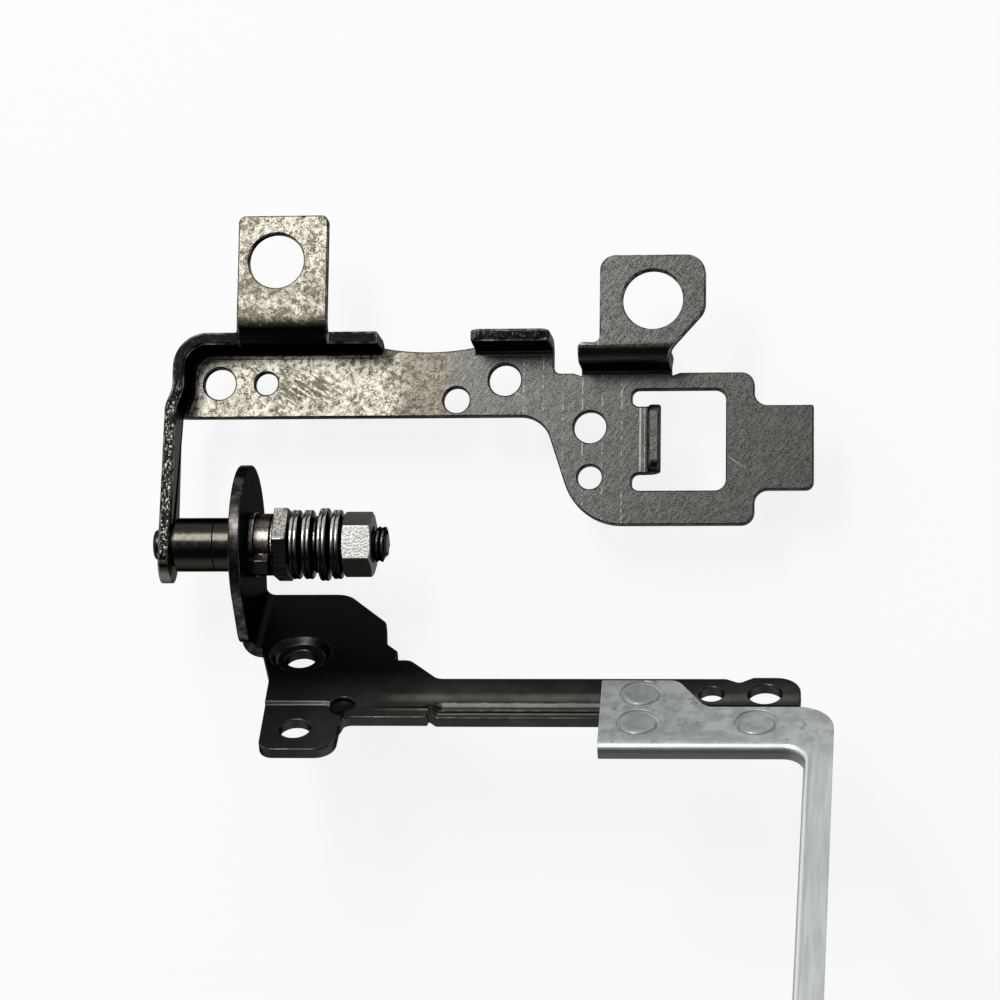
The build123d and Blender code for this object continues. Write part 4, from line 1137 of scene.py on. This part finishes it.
@dataclass
class ScreenRail:
    """The pale rail on the lid bracket and its three flush rivets."""

    rounding: Rounding = Rounding(width=0.08)
    zinc: CloudyZinc = CloudyZinc(
        "cloudy_zinc", (0.40, 0.425, 0.43), (0.27, 0.29, 0.295), (0.14, 0.15, 0.15), (0.52, 0.55, 0.555),
        (0.14, 0.152, 0.152), (0.80, 0.84, 0.845),
    )
    rivet: CloudyZinc = CloudyZinc(
        "rivet_zinc", (0.34, 0.36, 0.36), (0.26, 0.275, 0.275), (0.16, 0.165, 0.165), (0.36, 0.38, 0.38),
        (0.08, 0.085, 0.085), (0.42, 0.44, 0.44),
    )
    middle: Triple = (45.325, -16.05, 0.0)
    pitch: float = 11.15
    row_pitch: float = 4.8
    facets: int = 48
    profile: tuple[tuple[float, float], ...] = (
        (-8.26, 0.0), (-8.24, 1.0), (-8.2, 1.45), (-8.23, 1.6), (-8.31, 1.72), (-8.42, 1.78), (-8.6, 1.8),
        (-8.6, 1.2), (-10.1, 1.2), (-10.1, 1.85), (-10.36, 1.85), (-10.46, 1.75), (-10.5, 1.6), (-10.5, 0.0),
    )

    def rivets(self) -> bpy.types.Object:
        """Set a rivet at three corners of a rectangle on the rail.

        Returns:
            One object with the three rivets.
        """
        piece = revolved("rail_rivets_flush", list(self.profile), "Z", False, self.facets)
        p = Pattern("rivet_corners")
        pitch, row = p.size("Pitch", self.pitch * MM), p.size("Row Pitch", self.row_pitch * MM)
        middle = p.size("Middle", tuple(Vector(self.middle) * MM))
        grid = p.node("GeometryNodeMeshGrid", pitch, row, 2, 2)
        split = p.node("ShaderNodeSeparateXYZ", p.node("GeometryNodeInputPosition").outputs[0])
        bare = p.maths("MULTIPLY", *(p.maths("GREATER_THAN", split.outputs[a]) for a in "XY"))
        corners = p.node("GeometryNodeDeleteGeometry", grid.outputs[0], bare)
        placed = p.node("GeometryNodeSetPosition", corners.outputs[0], None, None, middle)
        set_in = p.node("GeometryNodeInstanceOnPoints", placed.outputs[0], None, p.start.outputs[0])
        on_lid = p.node("GeometryNodeTransform", set_in.outputs[0])
        place, turn, _ = LID_AXES.matrix().decompose()
        on_lid.inputs["Translation"].default_value = place
        on_lid.inputs["Rotation"].default_value = turn.to_euler()
        return p.make(on_lid.outputs[0], self.rivet.material(), piece)

    def build(self) -> None:
        """Make and dress the rail and its rivets."""
        piece = self.rounding.copy("screen_rail", "screen_rail_zinc", [self.zinc.material()])
        dress(piece, Body.LID, Slot.RAIL, "screen_rail")
        dress(self.rivets(), Body.LID, Slot.RIVET, *(f"rail_rivet_{n}" for n in (1, 2, 3)))


@dataclass
class HingeShaft:
    """The shaft with its collar, spacer ring and threaded tail."""

    rounding: Rounding = Rounding(width=0.07)
    steel: TurnedSteel = TurnedSteel(
        "blued_shaft", (0.022, 0.020, 0.0165), (0.052, 0.048, 0.040), (0.032, 0.029, 0.025), 0.18, 1.5,
        sheen=(0.90, 0.99),
    )
    tail: TurnedSteel = TurnedSteel(
        "tail_thread", (0.03, 0.03, 0.03), (0.20, 0.20, 0.19), (0.012, 0.012, 0.011), 0.24, 4.0, 0.012
    )
    axis: Triple = (16.6, -16.8, 4.9)
    tail_start: float = 16.5
    tail_taper: float = 0.84
    thread_radius: float = 1.52
    ridge: float = 0.26
    lead: float = 0.48
    length: float = 0.96
    turn_steps: int = 40
    ridge_sides: int = 4

    def thread(self) -> bpy.types.Object:
        """Wind a ridge round the tail.

        Returns:
            The ridge.
        """
        piece = bpy.data.objects.new("shaft_thread", bpy.data.meshes.new("shaft_thread"))
        bpy.context.scene.collection.objects.link(piece)
        p = Pattern("tail_ridge")
        radius, ridge = p.size("Radius", self.thread_radius * MM), p.size("Ridge", self.ridge * MM)
        lead, length = p.size("Lead", self.lead * MM), p.size("Length", self.length * MM)
        turns = p.maths("DIVIDE", length, lead)
        spiral = p.node("GeometryNodeCurveSpiral", self.turn_steps, turns, radius, radius, length)
        section = p.node("GeometryNodeCurvePrimitiveCircle", self.ridge_sides)
        p.tree.links.new(ridge, section.inputs["Radius"])
        ridges = p.node("GeometryNodeCurveToMesh", spiral.outputs[0], section.outputs[0])
        ridges.inputs["Fill Caps"].default_value = True
        laid = p.node("GeometryNodeTransform", ridges.outputs[0])
        laid.inputs["Translation"].default_value = Vector(self.axis) * MM
        laid.inputs["Rotation"].default_value = Euler((0.0, math.radians(90.0), 0.0))
        return p.make(laid.outputs[0], self.tail.material(), piece)

    def build(self) -> None:
        """Make and dress the shaft."""
        steel = [self.steel.material()]
        shaft = self.rounding.copy("hinge_shaft", "hinge_shaft_turned", steel)
        for vertex in shaft.data.vertices:
            if vertex.co.x > self.tail_start * MM:
                for side in (1, 2):
                    middle = self.axis[side] * MM
                    vertex.co[side] = middle + (vertex.co[side] - middle) * self.tail_taper
        dress(shaft, Body.BASE, Slot.SHAFT, "hinge_shaft")
        spacer = self.rounding.copy("spacer_ring", "spacer_ring_turned", steel)
        dress(spacer, Body.BASE, Slot.SHAFT, "spacer_ring")
        dress(self.thread(), Body.BASE, Slot.SHAFT)


@dataclass
class FrictionStack:
    """The washers and disc springs that press on the ear."""

    rounding: Rounding = Rounding(width=0.1, segments=3)
    # Upper sides of the washers and springs, with lean, take the bright colours and steep or lower sides the
    # near-black side colour: painted light and shade.
    bright: TurnedSteel = TurnedSteel(
        "bright_washer", (0.30, 0.29, 0.26), (0.60, 0.575, 0.52), (0.04, 0.039, 0.035), 0.2, lean=0.5
    )
    brown: TurnedSteel = TurnedSteel(
        "brown_washer", (0.06, 0.054, 0.048), (0.17, 0.155, 0.138), (0.02, 0.019, 0.017), 0.2, lean=0.4
    )
    flecked: TurnedSteel = TurnedSteel(
        "flecked_washer", (0.12, 0.115, 0.10), (0.62, 0.60, 0.545), (0.035, 0.034, 0.031), 0.24, 3.4, 0.06,
        lean=0.4,
    )
    spring: TurnedSteel = TurnedSteel(
        "spring_steel", (0.36, 0.35, 0.32), (0.60, 0.585, 0.54), (0.03, 0.029, 0.027), 0.14, 2.0,
        sheen=(0.5, 1.0), lean=0.6,
    )
    first: Triple = (8.465, -16.8, 4.9)
    count: int = 8
    pitch: float = 0.63
    middle_gap: float = 0.3
    wide_pair: int = 2
    wide: float = 1.0515
    bore: float = 1.8
    rim: float = 3.4
    sheet: float = 0.42
    cup: float = 0.21
    corner: float = 0.17
    corner_steps: int = 4
    facets: int = 72

    def spring_profile(self) -> list[tuple[float, float]]:
        """One cupped ring's section, round at the rim.

        Returns:
            Heights along the shaft and radii.
        """
        half = (self.sheet + self.cup) / 2
        points = [(-half, self.bore), (-half + self.sheet, self.bore)]
        for side in (1, -1):
            middle = self.cup - half + self.sheet / 2 + side * (self.sheet / 2 - self.corner)
            for step in range(self.corner_steps + 1):
                share = step / self.corner_steps
                angle = math.pi / 2 * (share if side > 0 else 1 - share)
                reach = side * self.corner * math.cos(angle)
                points.append((middle + reach, self.rim - self.corner + self.corner * math.sin(angle)))
        return points

    def springs(self) -> bpy.types.Object:
        """Thread the disc springs in pairs, every second one turned round.

        Returns:
            One object with all the springs.
        """
        piece = revolved("disc_spring_pack", self.spring_profile(), "X", True, self.facets)
        p = Pattern("spring_pairs")
        count, pitch = p.size("Count", self.count), p.size("Pitch", self.pitch * MM)
        gap, wide = p.size("Middle Gap", self.middle_gap * MM), p.size("Wide", self.wide)
        pair, first = p.size("Wide Pair", self.wide_pair), p.size("First", tuple(Vector(self.first) * MM))
        line = p.node("GeometryNodeMeshLine", count, None, first, p.vector(pitch, 0.0, 0.0))
        index = p.node("GeometryNodeInputIndex").outputs[0]
        past = p.maths("GREATER_THAN", index, p.maths("SUBTRACT", p.maths("DIVIDE", count, 2.0), 0.5))
        moved = p.node("GeometryNodeSetPosition", line.outputs[0])
        p.tree.links.new(p.vector(p.maths("MULTIPLY", past, gap), 0.0, 0.0), moved.inputs["Offset"])
        turn = p.maths("MULTIPLY", p.maths("MODULO", index, 2.0), math.pi)
        is_wide = p.maths("COMPARE", p.maths("FLOOR", p.maths("DIVIDE", index, 2.0)), pair)
        grow = p.maths("ADD", 1.0, p.maths("MULTIPLY", is_wide, p.maths("SUBTRACT", wide, 1.0)))
        threaded = p.node("GeometryNodeInstanceOnPoints", moved.outputs[0], None, p.start.outputs[0])
        rotation = p.node("FunctionNodeEulerToRotation", p.vector(0.0, 0.0, turn))
        p.tree.links.new(rotation.outputs[0], threaded.inputs["Rotation"])
        p.tree.links.new(p.vector(1.0, grow, grow), threaded.inputs["Scale"])
        return p.make(threaded.outputs[0], self.spring.material(), piece)

    def build(self) -> None:
        """Make and dress the stack."""
        bright, brown, flecked = self.bright.material(), self.brown.material(), self.flecked.material()
        for node, body, material in (
            ("ear_washer", Body.BASE, bright),
            ("friction_washer", Body.LID, brown),
            ("key_washer", Body.BASE, flecked),
            ("spring_washer", Body.BASE, brown),
        ):
            dress(self.rounding.copy(node, f"{node}_stamped", [material]), body, Slot.WASHER, node)
        nodes = [f"disc_spring_{n}" for n in range(1, self.count + 1)]
        dress(self.springs(), Body.BASE, Slot.SPRING, *nodes)


@dataclass
class LockNut:
    """The plated nut at the end of the stack."""

    rounding: Rounding = Rounding(width=0.08)
    # The level front flat takes the bright colours and the steep flats the darker side colour: painted light
    # and shade.
    plating: TurnedSteel = TurnedSteel(
        "nut_plating", (0.34, 0.34, 0.325), (0.62, 0.62, 0.595), (0.20, 0.20, 0.185), 0.28, 5.0, 0.03
    )

    def build(self) -> None:
        """Make and dress the nut."""
        piece = self.rounding.copy("lock_nut", "lock_nut_plated", [self.plating.material()])
        dress(piece, Body.BASE, Slot.NUT, "lock_nut")


@dataclass
class Studio:
    """Pale floor, soft dome, one soft lamp and the camera."""

    floor_drop: float = 1.2
    floor_size: float = 4000.0
    floor_paint: Triple = (0.9, 0.9, 0.9)
    shadow_share: float = 0.15
    horizon: float = 0.95
    dome_dark: float = 0.06
    dome_bright: float = 0.95
    dome_key: Triple = (-0.5, 0.8, 0.33)
    key_range: tuple[float, float] = (-0.1, 0.95)
    horizon_range: tuple[float, float] = (0.1, 0.4)
    lamp_place: Triple = (-60.0, 116.0, 290.0)
    lamp_aim: Triple = (12.0, 0.0, 0.0)
    lamp_size: tuple[float, float] = (60.0, 155.0)
    lamp_radiance: float = 19.0
    camera_place: Triple = (72.06, -74.86, 388.23)
    camera_turn: Triple = (9.276, 6.325, 0.791)
    lens: float = 144.19

    def seen(self, tree: bpy.types.NodeTree) -> Socket:
        """1 for rays that show the floor: from the camera, in a reflection or through glass.

        Args:
            tree: the tree that asks.

        Returns:
            The factor.
        """
        path = tree.nodes.new("ShaderNodeLightPath")
        total = path.outputs["Is Camera Ray"]
        for name in ("Is Glossy Ray", "Is Transmission Ray"):
            add = tree.nodes.new("ShaderNodeMath")
            add.operation = "MAXIMUM"
            tree.links.new(total, add.inputs[0])
            tree.links.new(path.outputs[name], add.inputs[1])
            total = add.outputs["Value"]
        return total

    def floor(self) -> None:
        """A white floor that keeps a faint shadow."""
        half = self.floor_size / 2 * MM
        low = CAD_BOX[0].z - self.floor_drop * MM
        mesh = bpy.data.meshes.new("floor")
        corners = [(-half, -half, low), (half, -half, low), (half, half, low), (-half, half, low)]
        mesh.from_pydata(corners, [], [(0, 1, 2, 3)])
        floor = bpy.data.objects.new("floor", mesh)
        bpy.context.scene.collection.objects.link(floor)
        material = bpy.data.materials.new("white_floor")
        material.use_nodes = True
        tree = material.node_tree
        tree.nodes.clear()
        paint = tree.nodes.new("ShaderNodeBsdfDiffuse")
        paint.inputs["Color"].default_value = (*self.floor_paint, 1.0)
        glow = tree.nodes.new("ShaderNodeEmission")
        scale = tree.nodes.new("ShaderNodeMath")
        scale.operation = "MULTIPLY"
        scale.inputs[1].default_value = 1.0 - self.shadow_share
        tree.links.new(self.seen(tree), scale.inputs[0])
        mix = tree.nodes.new("ShaderNodeMixShader")
        output = tree.nodes.new("ShaderNodeOutputMaterial")
        tree.links.new(scale.outputs["Value"], mix.inputs[0])
        tree.links.new(paint.outputs["BSDF"], mix.inputs[1])
        tree.links.new(glow.outputs["Emission"], mix.inputs[2])
        tree.links.new(mix.outputs["Shader"], output.inputs["Surface"])
        mesh.materials.append(material)

    def surround(self) -> None:
        """A dome that is pale all round the horizon, bright behind on the left and dim in front."""
        world = bpy.data.worlds.new("surround")
        bpy.context.scene.world = world
        world.use_nodes = True
        nodes, links = world.node_tree.nodes, world.node_tree.links
        way = nodes.new("ShaderNodeTexCoord").outputs["Generated"]
        facing = nodes.new("ShaderNodeVectorMath")
        facing.operation = "DOT_PRODUCT"
        facing.inputs[1].default_value = Vector(self.dome_key).normalized()
        split = nodes.new("ShaderNodeSeparateXYZ")
        links.new(way, facing.inputs[0])
        links.new(way, split.inputs["Vector"])
        levels = []
        for value, low, high, start, end in (
            (facing.outputs["Value"], *self.key_range, self.dome_dark, self.dome_bright),
            (split.outputs["Z"], *self.horizon_range, 0.0, 1.0),
        ):
            level = nodes.new("ShaderNodeMapRange")
            level.interpolation_type = "SMOOTHSTEP"
            for name, number in (("From Min", low), ("From Max", high), ("To Min", start), ("To Max", end)):
                level.inputs[name].default_value = number
            links.new(value, level.inputs["Value"])
            levels.append(level.outputs["Result"])
        mix = nodes.new("ShaderNodeMix")
        mix.inputs[2].default_value = self.horizon
        links.new(levels[1], mix.inputs[0])
        links.new(levels[0], mix.inputs[3])
        background = nodes["Background"]
        background.inputs["Color"].default_value = (1.0, 1.0, 1.0, 1.0)
        links.new(mix.outputs[0], background.inputs["Strength"])

    def lamp(self) -> None:
        """One soft lamp above the bracket's left end."""
        data = bpy.data.lights.new("soft_lamp", "AREA")
        data.shape = "RECTANGLE"
        data.size, data.size_y = (side * MM for side in self.lamp_size)
        data.energy = self.lamp_radiance * math.pi * data.size * data.size_y
        lamp = bpy.data.objects.new("soft_lamp", data)
        lamp.location = Vector(self.lamp_place) * MM
        back = (Vector(self.lamp_place) - Vector(self.lamp_aim)).normalized()
        right = Vector((back.z, 0.0, -back.x)).normalized()
        lamp.rotation_euler = Matrix((right, back.cross(right), back)).transposed().to_euler()
        bpy.context.scene.collection.objects.link(lamp)

    def camera(self) -> None:
        """The photograph's viewpoint."""
        data = bpy.data.cameras.new("camera")
        data.lens = self.lens
        data.clip_start = 1.0 * MM
        camera = bpy.data.objects.new("camera", data)
        camera.location = Vector(self.camera_place) * MM
        camera.rotation_euler = Euler([math.radians(a) for a in self.camera_turn], "XYZ")
        bpy.context.scene.collection.objects.link(camera)
        bpy.context.scene.camera = camera

    def build(self) -> None:
        """Set the whole stage."""
        bpy.context.scene.view_settings.view_transform = "Standard"
        self.floor()
        self.surround()
        self.lamp()
        self.camera()
        LOG.info("studio set")


def main() -> None:
    """Build every sub-assembly in order."""
    logging.basicConfig(level=logging.INFO, format="%(name)s: %(message)s")
    parts = (BaseBracket(), LidBracket(), ScreenRail(), HingeShaft(), FrictionStack(), LockNut(), Studio())
    for part in parts:
        part.build()


if __name__ == "__main__":
    main()
